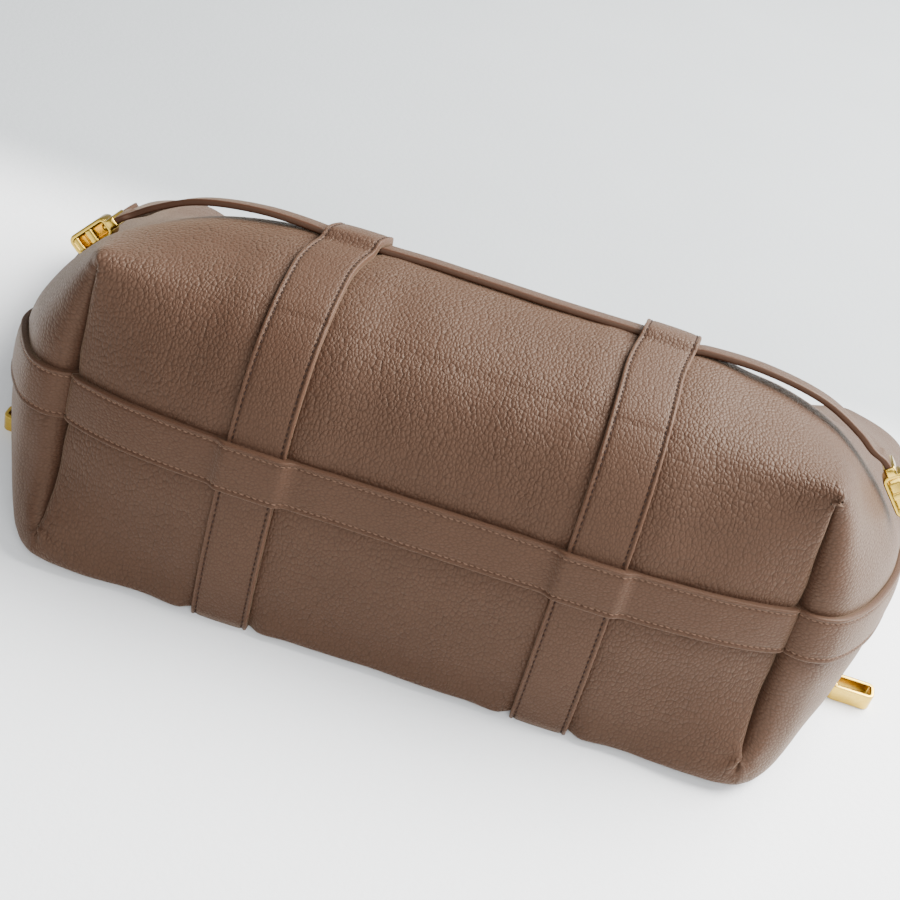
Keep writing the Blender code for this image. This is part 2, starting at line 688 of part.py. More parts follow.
def tip_mesh():
    """Metal end of a belt with its pin, along X; the pin's head lies inside the loop."""
    start = -LOOP_LENGTH / 2 - FIT
    width, depth = BELT_WIDTH, BELT_THICKNESS + 2 * TIP_LIP
    outline = [(x - TIP_LENGTH / 2 + start, y)
               for x, y in rounded_outline(TIP_LENGTH, depth, TIP_LIP)]
    block = scratch("tip", prism(outline, -width / 2 - TIP_LIP / 2, width / 2 + TIP_LIP / 2))
    inside = -LOOP_LENGTH / 2 + LOOP_WALL + FIT
    head = inside + PIN_HEAD
    pin = turned([(start - TIP_LENGTH / 2, PIN_RADIUS), (inside, PIN_RADIUS), (inside, PIN_HEAD * 0.8),
                  (inside + PIN_HEAD * 0.35, PIN_HEAD), (head, PIN_HEAD * 0.9), (head + PIN_HEAD * 0.5,
                                                                               PIN_HEAD * 0.4)], 12)
    return combine(block, [(scratch("pin", pin), "UNION")])


def frame_matrix(centre, along, side, hole):
    """Turn and move that brings X, Y and Z to the three given directions at a centre."""
    return Matrix.Translation(centre) @ Matrix((along, side, hole)).transposed().to_4x4()


def make_belt_ends():
    """A tip and a loop at each end of both belts."""
    for end_name, end in ENDS.items():
        centre, along, out, across = clasp_frame(end)
        turn = frame_matrix(centre, along, out, along.cross(out))
        for name, mesh in (("front_clasp_" + end_name, loop_mesh(True)),
                           ("front_belt_tip_" + end_name, tip_mesh())):
            bmesh.ops.transform(mesh, matrix=turn, verts=mesh.verts)
            place(name, mesh, METAL_FINISH, centre)
        centre, along, out, across = ring_frame(end)
        lying = frame_matrix(centre, along, across, along.cross(across))
        mesh = loop_mesh(False)
        bmesh.ops.transform(mesh, matrix=lying, verts=mesh.verts)
        place("back_ring_" + end_name, mesh, METAL_FINISH, centre)
        upright = frame_matrix(centre, along, out, along.cross(out))
        mesh = tip_mesh()
        bmesh.ops.transform(mesh, matrix=upright, verts=mesh.verts)
        place("back_belt_tip_" + end_name, mesh, METAL_FINISH, centre)


# Handles

def handle_frame(side):
    """Fold line of a handle: its middle, the way up from the mouth, the way out and half the legs' spacing."""
    last, before = FACE_ROWS[-1], FACE_ROWS[-2]
    x = STRAP_SPACING / 2
    top, under = laid(face_point(side, x, last)), laid(face_point(side, x, before))
    upward = (top - under).normalized()
    out = Vector((1, 0, 0)).cross(upward).normalized()
    if out.z * side < 0:
        out = -out
    start = top + out * (FIT + STRAP_THICKNESS)
    other = laid(face_point(side, -x, last)).x
    half = (start.x - other) / 2
    start.x = (start.x + other) / 2
    return start, upward, out, half


def handle_solid(start, upward, out, half):
    """Handle from its two flat ends, which carry on the straps, to its round middle."""
    rise = HANDLE_DROP - HANDLE_TUBE / 2
    leg = HANDLE_FLAT
    path = [(half, HANDLE_GAP), (half, leg)]
    steps = 12
    for k in range(1, steps):
        angle = math.pi * k / steps
        path.append((half * math.copysign(abs(math.cos(angle)) ** 0.8, math.cos(angle)),
                     leg + (rise - leg) * math.sin(angle) ** 0.8))
    path += [(-half, leg), (-half, HANDLE_GAP)]
    mesh = bmesh.new()
    rings = []
    sides = 10
    for i, (x, s) in enumerate(path):
        before, after = path[max(i - 1, 0)], path[min(i + 1, len(path) - 1)]
        way = Vector((after[0] - before[0], after[1] - before[1], 0)).normalized()
        round_share = min(1.0, max(0.0, (s - leg) / HANDLE_TAPER))
        round_share = round_share * round_share * (3 - 2 * round_share)
        width = STRAP_WIDTH + (HANDLE_TUBE - STRAP_WIDTH) * round_share
        depth = STRAP_THICKNESS + (HANDLE_TUBE - STRAP_THICKNESS) * round_share
        power = 0.25 + 0.75 * round_share
        ring = []
        for k in range(sides):
            angle = 2 * math.pi * (k + 0.5) / sides
            a = math.copysign(abs(math.cos(angle)) ** power, math.cos(angle)) * width / 2
            b = math.copysign(abs(math.sin(angle)) ** power, math.sin(angle)) * depth / 2
            place_x = x + way.y * a
            place_s = s - way.x * a
            if s == HANDLE_GAP:
                place_s = HANDLE_GAP
            ring.append(mesh.verts.new(start + Vector((place_x, 0, 0)) + upward * place_s
                                       + out * (b - depth / 2)))
        rings.append(ring)
    for low, high in zip(rings, rings[1:]):
        for k in range(sides):
            mesh.faces.new((low[k], low[(k + 1) % sides], high[(k + 1) % sides], high[k]))
    mesh.faces.new(rings[0])
    mesh.faces.new(rings[-1][::-1])
    return mesh


def make_handles():
    """The front handle lies folded back on the front face, the back handle lies on the table."""
    start, upward, out, half = handle_frame(1)
    axis = start + out * HANDLE_FOLD
    mesh = handle_solid(start, upward, out, half)
    fold = Matrix.Translation(axis) @ Matrix.Rotation(FRONT_FOLD, 4, "X") @ Matrix.Translation(-axis)
    bmesh.ops.transform(mesh, matrix=fold, verts=mesh.verts)
    place("front_handle", mesh, LEATHER_FINISH, axis)
    start, upward, out, half = handle_frame(-1)
    axis = start - out * (STRAP_THICKNESS + HANDLE_FOLD)
    place("back_handle", handle_solid(start, upward, out, half), LEATHER_FINISH, axis)


# Inside

def make_base_board():
    """Stiffener inside the base, between the leather and the lining."""
    columns = [x for x in COLUMNS if abs(x) < OUTER_COLUMN_SHARES[2] * HALF_LENGTH]
    shares = sorted({-v for v in BASE_ROW_SHARES[:3]} | {0.0} | set(BASE_ROW_SHARES[:3]))
    rows = []
    for v in shares:
        side = -1 if v < 0 else 1
        rows.append([((v, x, "board"), base_point(side, x, abs(v)), None) for x in columns])
    strip(rows, "base_board", -LEATHER - BOARD_EASE - BOARD, -LEATHER - BOARD_EASE, BOARD_FINISH)


def make_lining(name, side):
    """Half of the lining, hung inside its leather panel and stopped below the facing."""
    skipped = (HALF_COLUMNS[1], HALF_COLUMNS[4]) + (() if side > 0 else HALF_COLUMNS[-2:-1])
    columns = [x for x in COLUMNS if abs(x) not in skipped]
    end_columns = tuple(share for share in END_COLUMN_SHARES[side] if share != LINING_SKIP_SHARE)
    top = FACING_SHARE - 2 * FIT / BODY_HEIGHT
    low_rows = base_rows(side)[:1] + BASE_ROW_SHARES[:1] + BASE_ROW_SHARES[2:3]
    face_rows = tuple(s for s in FACE_ROWS if s < top and s != LOW_ROW_SHARES[1]) + (top,)
    sheet = panel_sheet(side, low_rows, face_rows, columns, end_columns)

    def depth(key):
        if key[0] == "base" or key[1] == 0:
            return LEATHER + BOARD_EASE + BOARD + LINING_EASE
        return LEATHER + (LINING_END_EASE if key[0] == "end" else LINING_EASE)

    place(name, sheet.solid(lambda key: -depth(key) - LINING, lambda key: -depth(key)), LINING_FINISH)


def make_facing(name, side):
    """Leather strip round the inside of the mouth, on one side."""
    rows = tuple(s for s in FACE_ROWS if s >= FACING_SHARE)
    sheet = panel_sheet(side, (), rows, COLUMNS, END_COLUMN_SHARES[side])
    place(name, sheet.solid(-LEATHER - FACING_EASE - FACING, -LEATHER - FACING_EASE), LEATHER_FINISH)


def make_snap(name, side):
    """Half of the magnetic snap, on the facing in the middle of the mouth."""
    low, high = laid(face_point(side, 0, FACING_SHARE)), laid(face_point(side, 0, FACE_ROWS[-1]))
    upward = (high - low).normalized()
    out = Vector((1, 0, 0)).cross(upward).normalized()
    if out.z * side < 0:
        out = -out
    column = HALF_COLUMNS[0]
    chord = (laid(face_point(side, column, FACING_SHARE)) + laid(face_point(side, column, FACE_ROWS[-1]))) / 2
    centre = Vector((low.x, chord.y, chord.z)) - out * (LEATHER + FACING_EASE + FACING + FIT)
    profile = [(0, SNAP_RADIUS - SNAP_RIM), (SNAP_RIM, SNAP_RADIUS), (SNAP_DEPTH, SNAP_RADIUS),
               (SNAP_DEPTH, SNAP_NUB)]
    profile.append((SNAP_DEPTH - SNAP_RIM, SNAP_NUB - SNAP_RIM / 2) if side > 0
                   else (SNAP_DEPTH + SNAP_RIM, SNAP_NUB - SNAP_RIM / 2))
    mesh = turned(profile, 20)
    along = -out
    turn = frame_matrix(centre, along, upward, along.cross(upward))
    bmesh.ops.transform(mesh, matrix=turn, verts=mesh.verts)
    place(name, mesh, METAL_FINISH)


def centre_on_footprint():
    """Puts the origin under the middle of the whole bag, on the table."""
    bpy.context.view_layer.update()
    corners = [made.matrix_world @ v.co for made in bpy.context.scene.objects for v in made.data.vertices]
    low = Vector([min(c[k] for c in corners) for k in range(3)])
    high = Vector([max(c[k] for c in corners) for k in range(3)])
    shift = Vector(((low.x + high.x) / 2, (low.y + high.y) / 2, low.z))
    for made in bpy.context.scene.objects:
        made.location -= shift
    print("origin moved by", [round(v, 6) for v in shift])
    print("size", [round(v, 5) for v in high - low])


def build():
    for old in list(bpy.data.objects):
        bpy.data.objects.remove(old, do_unlink=True)
    for side_name, side in SIDES.items():
        make_panel(side_name + "_panel", side)
        make_lining("lining_" + side_name, side)
        make_facing("mouth_facing_" + side_name, side)
        make_snap("magnetic_snap_" + side_name, side)
        for end_name, end in ENDS.items():
            make_strap("strap_" + side_name + "_" + end_name, side, end)
    for end_name, end in ENDS.items():
        make_end_band("end_band_" + end_name, end)
    make_base_band()
    make_base_board()
    place("front_belt", belt_solid(front_belt_stations()), TRIM_FINISH)
    place("back_belt", belt_solid(back_belt_stations()), TRIM_FINISH)
    make_belt_ends()
    make_handles()
    centre_on_footprint()


build()
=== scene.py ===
import json
import math

import bmesh
import bpy
import numpy as np
from mathutils import Matrix, Vector, noise


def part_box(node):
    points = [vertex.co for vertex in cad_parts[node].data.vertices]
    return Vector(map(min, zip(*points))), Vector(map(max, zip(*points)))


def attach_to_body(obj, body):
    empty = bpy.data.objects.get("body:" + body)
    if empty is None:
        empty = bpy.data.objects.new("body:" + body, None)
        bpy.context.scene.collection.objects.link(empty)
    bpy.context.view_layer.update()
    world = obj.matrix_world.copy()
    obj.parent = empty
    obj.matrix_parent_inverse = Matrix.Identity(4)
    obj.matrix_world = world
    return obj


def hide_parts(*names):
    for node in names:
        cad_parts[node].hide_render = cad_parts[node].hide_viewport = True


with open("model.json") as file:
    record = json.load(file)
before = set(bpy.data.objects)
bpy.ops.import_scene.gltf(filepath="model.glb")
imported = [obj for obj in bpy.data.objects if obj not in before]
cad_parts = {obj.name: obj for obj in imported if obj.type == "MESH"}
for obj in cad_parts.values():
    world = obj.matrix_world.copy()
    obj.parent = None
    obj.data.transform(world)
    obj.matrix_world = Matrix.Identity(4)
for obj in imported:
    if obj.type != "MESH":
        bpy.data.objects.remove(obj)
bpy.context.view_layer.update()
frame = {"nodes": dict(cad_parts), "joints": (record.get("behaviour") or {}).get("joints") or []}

bothFaces, bothEnds = (("front", 1), ("back", -1)), (("left", -1), ("right", 1))


# shader maths: expressions on sockets add the nodes that work them out

class Socket:
    def __init__(self, tree, link):
        self.tree, self.link = tree, link

    def maths(self, operation, one, other):
        return self.tree.node("ShaderNodeMath", {"operation": operation}, {0: one, 1: other})

    def __add__(self, other):
        return self.maths("ADD", self, other)

    def __sub__(self, other):
        return self.maths("SUBTRACT", self, other)

    def __rsub__(self, other):
        return self.maths("SUBTRACT", other, self)

    def __mul__(self, other):
        return self.maths("MULTIPLY", self, other)

    __radd__ = __add__
    __rmul__ = __mul__


class Tree:
    def __init__(self, name):
        self.material = bpy.data.materials.new(name)
        self.material.use_nodes = True
        self.nodes, self.links = self.material.node_tree.nodes, self.material.node_tree.links
        self.shader = self.nodes["Principled BSDF"]

    def node(self, kind, settings=None, inputs=None, output=0):
        made = self.nodes.new(kind)
        for key, value in (settings or {}).items():
            if key == "stops":
                self.ramp(made.color_ramp, value)
            else:
                setattr(made, key, value)
        for key, value in (inputs or {}).items():
            self.feed(made.inputs[key], value)
        return Socket(self, made.outputs[output])

    def feed(self, target, value):
        if isinstance(value, Socket):
            self.links.new(value.link, target)
        elif target.type == "RGBA" and len(value) == 3:
            target.default_value = (*value, 1)
        else:
            target.default_value = value

    def ramp(self, ramp, stops):
        while len(ramp.elements) < len(stops):
            ramp.elements.new(1)
        for element, (place, level) in zip(ramp.elements, stops):
            element.position = place
            element.color = (level, level, level, 1)

    def millimetres(self, layer=None):      # where on the piece, or on the flat leather, a point lies
        if layer:
            at = self.node("ShaderNodeUVMap", {"uv_map": layer})
        else:
            at = self.node("ShaderNodeTexCoord", output=3)
        return self.stretch(at, (1000.0, 1000.0, 1000.0))

    def noise(self, vector, scale, detail=2.0, roughness=0.5, output=0):
        return self.node("ShaderNodeTexNoise", {}, {"Vector": vector, "Scale": scale, "Detail": detail,
                                                    "Roughness": roughness}, output)

    def cells(self, vector, feature, **more):
        return self.node("ShaderNodeTexVoronoi", {"feature": feature, "voronoi_dimensions": "2D"},
                         {"Vector": vector, "Scale": 1.0, **more})

    def wave(self, vector, direction, scale, distortion):
        return self.node("ShaderNodeTexWave", {"wave_type": "BANDS", "bands_direction": direction},
                         {"Vector": vector, "Scale": scale, "Distortion": distortion, "Detail": 1.0}, 1)

    def blend(self, factor, one, other, way="MIX"):
        return self.node("ShaderNodeMix", {"data_type": "RGBA", "blend_type": way, "clamp_factor": True},
                         {0: factor, 6: one, 7: other}, output=2)

    def tones(self, factor, colour, low, high):
        return self.blend(factor, tuple(c * low for c in colour), tuple(c * high for c in colour))

    def stretch(self, vector, scale):
        return self.node("ShaderNodeVectorMath", {"operation": "MULTIPLY"}, {0: vector, 1: scale})

    def shift(self, vector, other):
        return self.node("ShaderNodeVectorMath", {"operation": "ADD"}, {0: vector, 1: other})

    def bump(self, height, distance):
        return self.node("ShaderNodeBump", {}, {"Height": height, "Distance": distance, "Strength": 1.0})

    def finish(self, sockets):
        for key, value in sockets.items():
            self.feed(self.shader.inputs[key], value)
        return self.material


def linear(red, green, blue):
    return tuple(c / 12.92 if c <= 0.04045 else ((c + 0.055) / 1.055) ** 2.4
                 for c in (red / 255, green / 255, blue / 255))


# materials

leatherLook = {
    "mid": (0.0378, 0.0149, 0.0078),
    "deep": (0.0215, 0.0082, 0.0042),
    "light": (0.0580, 0.0246, 0.0136),
    "grain": 1.58,                 # millimetres across one pebble
    "long": 0.68,                  # how much longer pebbles are from base to mouth
    "stray": (2.4, 1.8, 0.0),      # millimetres by which their rows wander
    "fine": (2.4, 1.9),            # how many small pebbles lie across a large one
    "stops": [(0.0, 0.0), (0.11, 0.38), (0.28, 0.84), (0.5, 1.0)],      # from a crease up to a pebble's back
    "depth": 0.00034,
    "rough": 0.51,
    "gloss": {"Specular IOR Level": 0.33, "Specular Tint": (1.0, 0.82, 0.64, 1), "Sheen Weight": 0.12,
              "Sheen Roughness": 0.5, "Sheen Tint": (0.95, 0.70, 0.48, 1)},
}


def leather(name, grain=1.0, depth=1.0, tone=1.0):
    t, look = Tree(name), leatherLook
    where = t.millimetres("Flat")
    bent = t.shift(where, t.stretch(t.noise(where, 0.22, 3.0, output=1), look["stray"]))
    size = 1 / (look["grain"] * grain)
    pebbles = t.stretch(bent, (size, size * look["long"], 1.0))
    dome = t.cells(pebbles, "SMOOTH_F1", Smoothness=0.55)
    edge = t.cells(pebbles, "DISTANCE_TO_EDGE")
    finer = t.stretch(bent, (size * look["fine"][0], size * look["fine"][1], 1.0))
    small = t.cells(finer, "SMOOTH_F1", Smoothness=0.4)
    valley = t.node("ShaderNodeValToRGB", {"stops": look["stops"]}, {"Fac": edge})
    pull = t.noise(t.stretch(bent, (size * 0.9, size * 0.32, 1.0)), 1.0, 3.0, 0.55)
    pores, patch = t.noise(where, 4.5, 3.0, 0.6), t.noise(where, 0.035, 3.0, 0.55)
    firm = t.noise(where, 0.055)
    height = (1 - dome * dome) * 1.1 + valley * 0.38 + pull * 0.35 - small * 0.2 + pores * 0.05
    body = t.blend(0.6, t.blend(patch, look["deep"], look["light"]), look["mid"])
    # painted shade: the colour is darkened in the creases between the pebbles, where shade falls
    creaseShaded = t.blend(valley * 0.8 + pull * 0.3, t.blend(0.7, body, look["deep"]), body)
    # painted highlight: the colour is made lighter on the pebbles' backs, where light catches them
    topLitColour = t.blend((1 - dome) * pull * 0.55, creaseShaded, look["light"])
    return t.finish({"Base Color": t.blend(1.0, topLitColour, (tone, tone, tone), "MULTIPLY"),
                     "Roughness": look["rough"] + (1 - valley) * 0.16 + (pores - 0.5) * 0.12,
                     "Normal": t.bump(height * (0.4 + firm * 1.1), look["depth"] * depth), **look["gloss"]})


def edgePaint(name, colour):
    t = Tree(name)
    streak = t.noise(t.millimetres(), 0.72, 3.0, 0.6)
    return t.finish({"Base Color": t.tones(streak, colour, 0.86, 1.12), "Roughness": 0.38 + streak * 0.14,
                     "Normal": t.bump(streak, 0.00008), "Specular IOR Level": 0.3,
                     "Specular Tint": (1.0, 0.82, 0.64, 1)})


def thread(name, colour):
    t = Tree(name)
    at = t.millimetres()
    twist, fuzz = t.wave(at, "DIAGONAL", 2.6, 1.2), t.noise(at, 6.0)
    return t.finish({"Base Color": t.tones(twist * 0.6 + fuzz * 0.3, colour, 0.72, 1.15),
                     "Roughness": 0.62 + fuzz * 0.2, "Normal": t.bump(twist, 0.00006),
                     "Specular IOR Level": 0.2})


def gold(name):
    t = Tree(name)
    at = t.millimetres()
    smear, hair = t.noise(at, 0.45, 3.0, 0.6), t.noise(t.stretch(at, (1.0, 9.0, 9.0)), 2.2, 3.0, 0.6)
    colour = t.blend(smear, (0.52, 0.335, 0.040), (0.68, 0.465, 0.090))
    return t.finish({"Base Color": colour, "Metallic": 1.0,
                     "Roughness": 0.12 + smear * 0.08 + hair * 0.07, "Normal": t.bump(hair, 0.000012),
                     "Coat Weight": 0.15, "Coat Roughness": 0.08})


def cloth(name, colour):
    t = Tree(name)
    where = t.millimetres("Flat")
    weave = t.wave(where, "X", 0.62, 0.6) * t.wave(where, "Y", 0.62, 0.6)
    slub = t.noise(where, 0.25, 4.0, 0.6)
    return t.finish({"Base Color": t.tones(weave * 0.6 + slub * 0.4, colour, 0.74, 1.08),
                     "Roughness": 0.82 + slub * 0.1, "Normal": t.bump(weave + slub * 0.5, 0.0002),
                     "Sheen Weight": 0.35, "Sheen Roughness": 0.5})


def board(name):
    t = Tree(name)
    fleck = t.noise(t.millimetres(), 0.9, 4.0, 0.7)
    return t.finish({"Base Color": t.blend(fleck, (0.20, 0.19, 0.17), (0.34, 0.33, 0.30)),
                     "Roughness": 0.75 + fleck * 0.15, "Normal": t.bump(fleck, 0.0002)})


pebbled = leather("pebbledLeather")
pebbledEnd = leather("gussetLeather", grain=0.95, depth=0.6, tone=0.98)
strapLeather = leather("strapLeather", grain=0.88, depth=0.65, tone=1.03)
bandLeather = leather("bandLeather", grain=0.85, depth=0.6, tone=1.03)
handleLeather = leather("handleLeather", grain=0.7, depth=0.4)
facingLeather = leather("facingLeather", grain=0.7, depth=0.35, tone=1.02)
beltPaint = edgePaint("beltLeather", (0.043, 0.0170, 0.0090))
cutEdge = edgePaint("paintedEdge", (0.028, 0.0115, 0.0065))
# painted highlight: the straps' folded edges and the panels' rims are made lighter, as beads catching the
# light
litFoldedEdge = leather("litFoldedEdge", grain=0.6, depth=0.18, tone=1.4)
# painted highlight: the bands' edges are made a little lighter, as if lit
litBandEdge = leather("litBandEdge", grain=0.6, depth=0.18, tone=1.08)
stitchThread = thread("stitchThread", (0.026, 0.0115, 0.0070))
bandThread = thread("bandThread", (0.170, 0.098, 0.064))
brass = gold("paleGold")
canvas = cloth("liningCanvas", linear(176, 158, 138))
greyBoard = board("greyBoard")
print("materials made")


# the bag's outline, in its own axes: x along, h from base to mouth, u from the middle to the front

bag = {
    "halfLength": 0.165,
    "halfDepth": 0.0705,
    "backDepth": 0.077,
    "height": 0.240,
    "halfMouth": 0.234,
    "crown": 0.0836,
    "restDepth": 0.080,
    "lean": math.radians(13.5),
    "belly": 0.006,
    "seamDip": 0.0095,
    "cornerDip": 0.005,
    "backCornerDip": 0.004,
    "frontRound": 0.018,
    "backRound": 0.0025,
    "backOut": 0.0022,
    "backCornerLift": 0.001,
    "liftShare": 0.12,
    "frontRoll": 2.6,      # how late the base rolls over into the front face, and into the back
    "backRoll": 3,
    "edgePull": 0.1,
    "square": 6,           # how squarely the base runs out to its corners
    "backSquare": 3.2,
    "startShare": 0.29,    # up to here the rows still follow the base's dip
    "startFade": 1.5,
    "tableShare": 0.03,    # over this share the back face comes down to the table
    "steady": 0.004,       # the faces widen from this far beyond the straps
    "sagAside": 0.0065,    # the soft upper part has sunk to the right
    "sagNarrow": 0.024,
    "sagFrom": 0.045,
    "sagTo": 0.090,
    "strapIn": 0.06275,
    "strapOut": 0.08925,
    "strapThick": 0.003,
    "halfBand": 0.01125,
    "bandThick": 0.0026,
    "fit": 0.0003,
    "beltLow": 0.075,
    "beltHigh": 0.089,
    "beltThick": 0.003,
    "beltRamp": 0.006,     # length over which the leather rises to pass the belt
    "leather": 0.0024,
}
keyShares = np.array([0.0, 0.03, 0.07, 0.12, 0.18, 0.24, 0.29, 0.3125, 0.371, 0.392, 0.46, 0.54, 0.65, 0.75,
                      0.87, 1.0])
outlineShares = {
    "crown": [0.758, 0.80, 0.84, 0.882, 0.925, 0.968, 0.993, 1.0, 0.975, 0.953, 0.85, 0.712, 0.545, 0.419,
              0.278, 0.144],
    "corner": [1.0, 1.0, 0.985, 0.96, 0.925, 0.885, 0.85, 0.838, 0.805, 0.795, 0.768, 0.735, 0.68, 0.60,
               0.468, 0.355],
    "frontFlare": [0.0, 0.02, 0.045, 0.075, 0.11, 0.145, 0.17, 0.178, 0.198, 0.205, 0.225, 0.245, 0.27, 0.29,
                   0.325, 0.36],
    "backFlare": [0.0, 0.10, 0.22, 0.32, 0.38, 0.41, 0.43, 0.44, 0.46, 0.47, 0.51, 0.57, 0.64, 0.70, 0.75,
                  0.78],
    "endFlare": [0.0, 0.13, 0.30, 0.44, 0.545, 0.62, 0.67, 0.69, 0.735, 0.75, 0.80, 0.86, 0.92, 0.955, 0.985,
                 1.0],
    "endRise": [1.0, 0.08, -0.29, -0.08] + [0] * 12,
    "frontSquare": [1.9] * 8 + [1.95, 2.0, 2.15, 2.35, 2.6, 2.8, 2.95, 3.0],
}
cosLean, sinLean = math.cos(bag["lean"]), math.sin(bag["lean"])
up = np.array([0.0, cosLean, -sinLean])
proud = np.array([0.0, sinLean, cosLean])


def hermite(t, one, wayOne, two, wayTwo):
    return ((2 * t ** 3 - 3 * t ** 2 + 1) * one + (t ** 3 - 2 * t ** 2 + t) * wayOne
            + (3 * t ** 2 - 2 * t ** 3) * two + (t ** 3 - t ** 2) * wayTwo)


def curve(name, at):
    values, at = np.array(outlineShares[name]), np.clip(np.asarray(at, float), 0, 1)
    step = np.diff(keyShares)
    slope = np.diff(values) / step
    same = slope[:-1] * slope[1:] > 0
    inner = np.where(same, 2 * slope[:-1] * slope[1:] / np.where(same, slope[:-1] + slope[1:], 1), 0)
    way = np.concatenate([slope[:1], inner, slope[-1:]])
    i = np.clip(np.searchsorted(keyShares, at) - 1, 0, len(step) - 1)
    t = (at - keyShares[i]) / step[i]
    return hermite(t, values[i], step[i] * way[i], values[i + 1], step[i] * way[i + 1])


def smooth(low, high, at):
    t = np.clip((at - low) / (high - low), 0, 1)
    return t * t * (3 - 2 * t)


def between(low, high, ramp, at):
    return smooth(low - ramp, low, at) * (1 - smooth(high, high + ramp, at))


def restPlane(h):
    return -(bag["restDepth"] - h * math.tan(bag["lean"]))


def rowHeight(share, start):
    return bag["height"] * share + start * np.maximum(0, 1 - share / bag["startShare"]) ** bag["startFade"]


def beltDent(share):
    return (bag["beltThick"] + bag["fit"]) * between(bag["beltLow"], bag["beltHigh"], bag["beltRamp"],
                                                     share * bag["height"])


def depthOf(side):
    return bag["halfDepth"] if side > 0 else bag["backDepth"]


def dipOf(side):
    return bag["cornerDip"] if side > 0 else bag["backCornerDip"]


def cornerLine(side, share):
    x = bag["halfLength"] + (bag["halfMouth"] - bag["halfLength"]) * curve(
        "frontFlare" if side > 0 else "backFlare", share)
    h = rowHeight(share, dipOf(side))
    if side > 0:
        return x, h, bag["halfDepth"] * curve("corner", share)
    lift = bag["backCornerLift"] * np.maximum(0, 1 - share / bag["liftShare"])
    turn = smooth(0.0, bag["tableShare"], share)
    return x, h, -bag["backDepth"] * (1 - turn) + (restPlane(h) + lift) * turn


def basePoint(side, x, v):
    corner = (np.abs(x) / bag["halfLength"]) ** bag["square"]
    if side > 0:
        h = -bag["belly"] + (bag["belly"] + bag["frontRound"]) * v ** bag["frontRoll"]
        u = bag["halfDepth"] * (v - bag["edgePull"] * v ** 4)
    else:
        h = -bag["belly"] + (bag["belly"] + bag["backRound"]) * v ** bag["backRoll"]
        u = bag["backDepth"] * v + bag["backOut"] * v ** 4
    h = h + (bag["seamDip"] - (bag["seamDip"] - dipOf(side)) * v * v - h) * corner
    return x, h, side * (u + (depthOf(side) * v - u) * corner)


def facePoint(side, x, share):
    xCorner, hCorner, uCorner = cornerLine(side, share)
    corner = (np.abs(x) / bag["halfLength"]) ** bag["square"]
    if side > 0:
        h = rowHeight(share, bag["frontRound"])
        u = bag["crown"] * curve("crown", share)
        h, u = h + (hCorner - h) * corner, u + (uCorner - u) * corner
    else:
        h = rowHeight(share, bag["backRound"])
        h = h + (hCorner - h) * corner
        turn = smooth(0.0, bag["tableShare"], share)
        edge = -(bag["backDepth"] + bag["backOut"] * (1 - corner))
        onTable = restPlane(h) + (uCorner - restPlane(hCorner)) * corner
        u = edge * (1 - turn) + onTable * turn + beltDent(share)
    fixed = bag["strapOut"] + bag["steady"]
    spread = (xCorner - fixed) / (bag["halfLength"] - fixed)
    return np.where(np.abs(x) > fixed, np.sign(x) * (fixed + (np.abs(x) - fixed) * spread), x), h, u


def endPoint(side, end, share, across):
    xCorner, hCorner, uCorner = cornerLine(side, share)
    if side < 0:
        uCorner = uCorner + beltDent(share)
    middle = bag["halfLength"] + (bag["halfMouth"] - bag["halfLength"]) * curve("endFlare", share)
    hMiddle = bag["height"] * share + bag["seamDip"] * curve("endRise", share)
    ratio = np.minimum(1, np.abs(across / uCorner))
    square = curve("frontSquare", share) if side > 0 else bag["backSquare"]
    x = xCorner + (middle - xCorner) * (1 - ratio ** square)
    return end * x, hCorner + (hMiddle - hCorner) * (1 - ratio ** 2), side * across


backLift = bag["strapThick"] + bag["fit"] + bag["restDepth"] * cosLean
beltShare = (bag["beltLow"] + bag["beltHigh"]) / 2 / bag["height"]


def laidRaw(x, h, u):
    x, h, u = np.broadcast_arrays(x, h, u)
    sag = smooth(bag["sagFrom"], bag["sagTo"], h)
    x = x * (1 - bag["sagNarrow"] * sag) + bag["sagAside"] * sag
    return np.stack([x, h * cosLean + u * sinLean, backLift - h * sinLean + u * cosLean], -1)


# the origin is the solids' own, so it comes from where the back belt and the base band lie
lowBelt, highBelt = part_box("back_belt")
lowBand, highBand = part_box("base_band")
ringRow = laidRaw(*facePoint(-1, np.array(bag["strapOut"]), np.array(beltShare)))
origin = np.array([-(lowBand.x + highBand.x) / 2, ringRow[1] - (lowBelt.y + highBelt.y) / 2, 0.0])


def laid(x, h, u):
    return laidRaw(x, h, u) - origin


# nets of points, and the meshes made from them

def unit(vectors):
    return vectors / np.maximum(np.linalg.norm(vectors, axis=-1, keepdims=True), 1e-12)


def gridNormals(points, outward):
    n = unit(np.cross(np.gradient(points, axis=0), np.gradient(points, axis=1)))
    return n if n.reshape(-1, 3).mean(0) @ outward > 0 else -n


def outwardNormals(net, row, column, outward):
    n = gridNormals(net, outward)
    return n if n[row, column] @ outward > 0 else -n


def ripple(points, scale, seed):
    shift = Vector((seed, seed * 1.7, -seed))
    waves = np.array([noise.noise(Vector(p) * scale + shift) for p in points.reshape(-1, 3)])
    return waves.reshape(points.shape[:-1])


def lengthAlong(points, axis):
    steps = np.linalg.norm(np.diff(points, axis=axis), axis=-1)
    pad = [(0, 0), (0, 0)]
    pad[axis] = (1, 0)
    return np.cumsum(np.pad(steps, pad), axis)


def lineLength(line):
    return lengthAlong(line[:, None], 0)[:, 0]


def flatMap(points):
    v, u = lengthAlong(points, 0), lengthAlong(points, 1)
    mid = points.shape[1] // 2
    return np.stack([u - u[:, mid:mid + 1], v], -1)


def netCorners(grid):
    corners = np.stack([grid[:-1, :-1], grid[:-1, 1:], grid[1:, 1:], grid[1:, :-1]], 2)
    return corners.reshape(-1, grid.shape[-1])


def netFaces(index):
    return netCorners(index[..., None]).reshape(-1, 4).tolist()


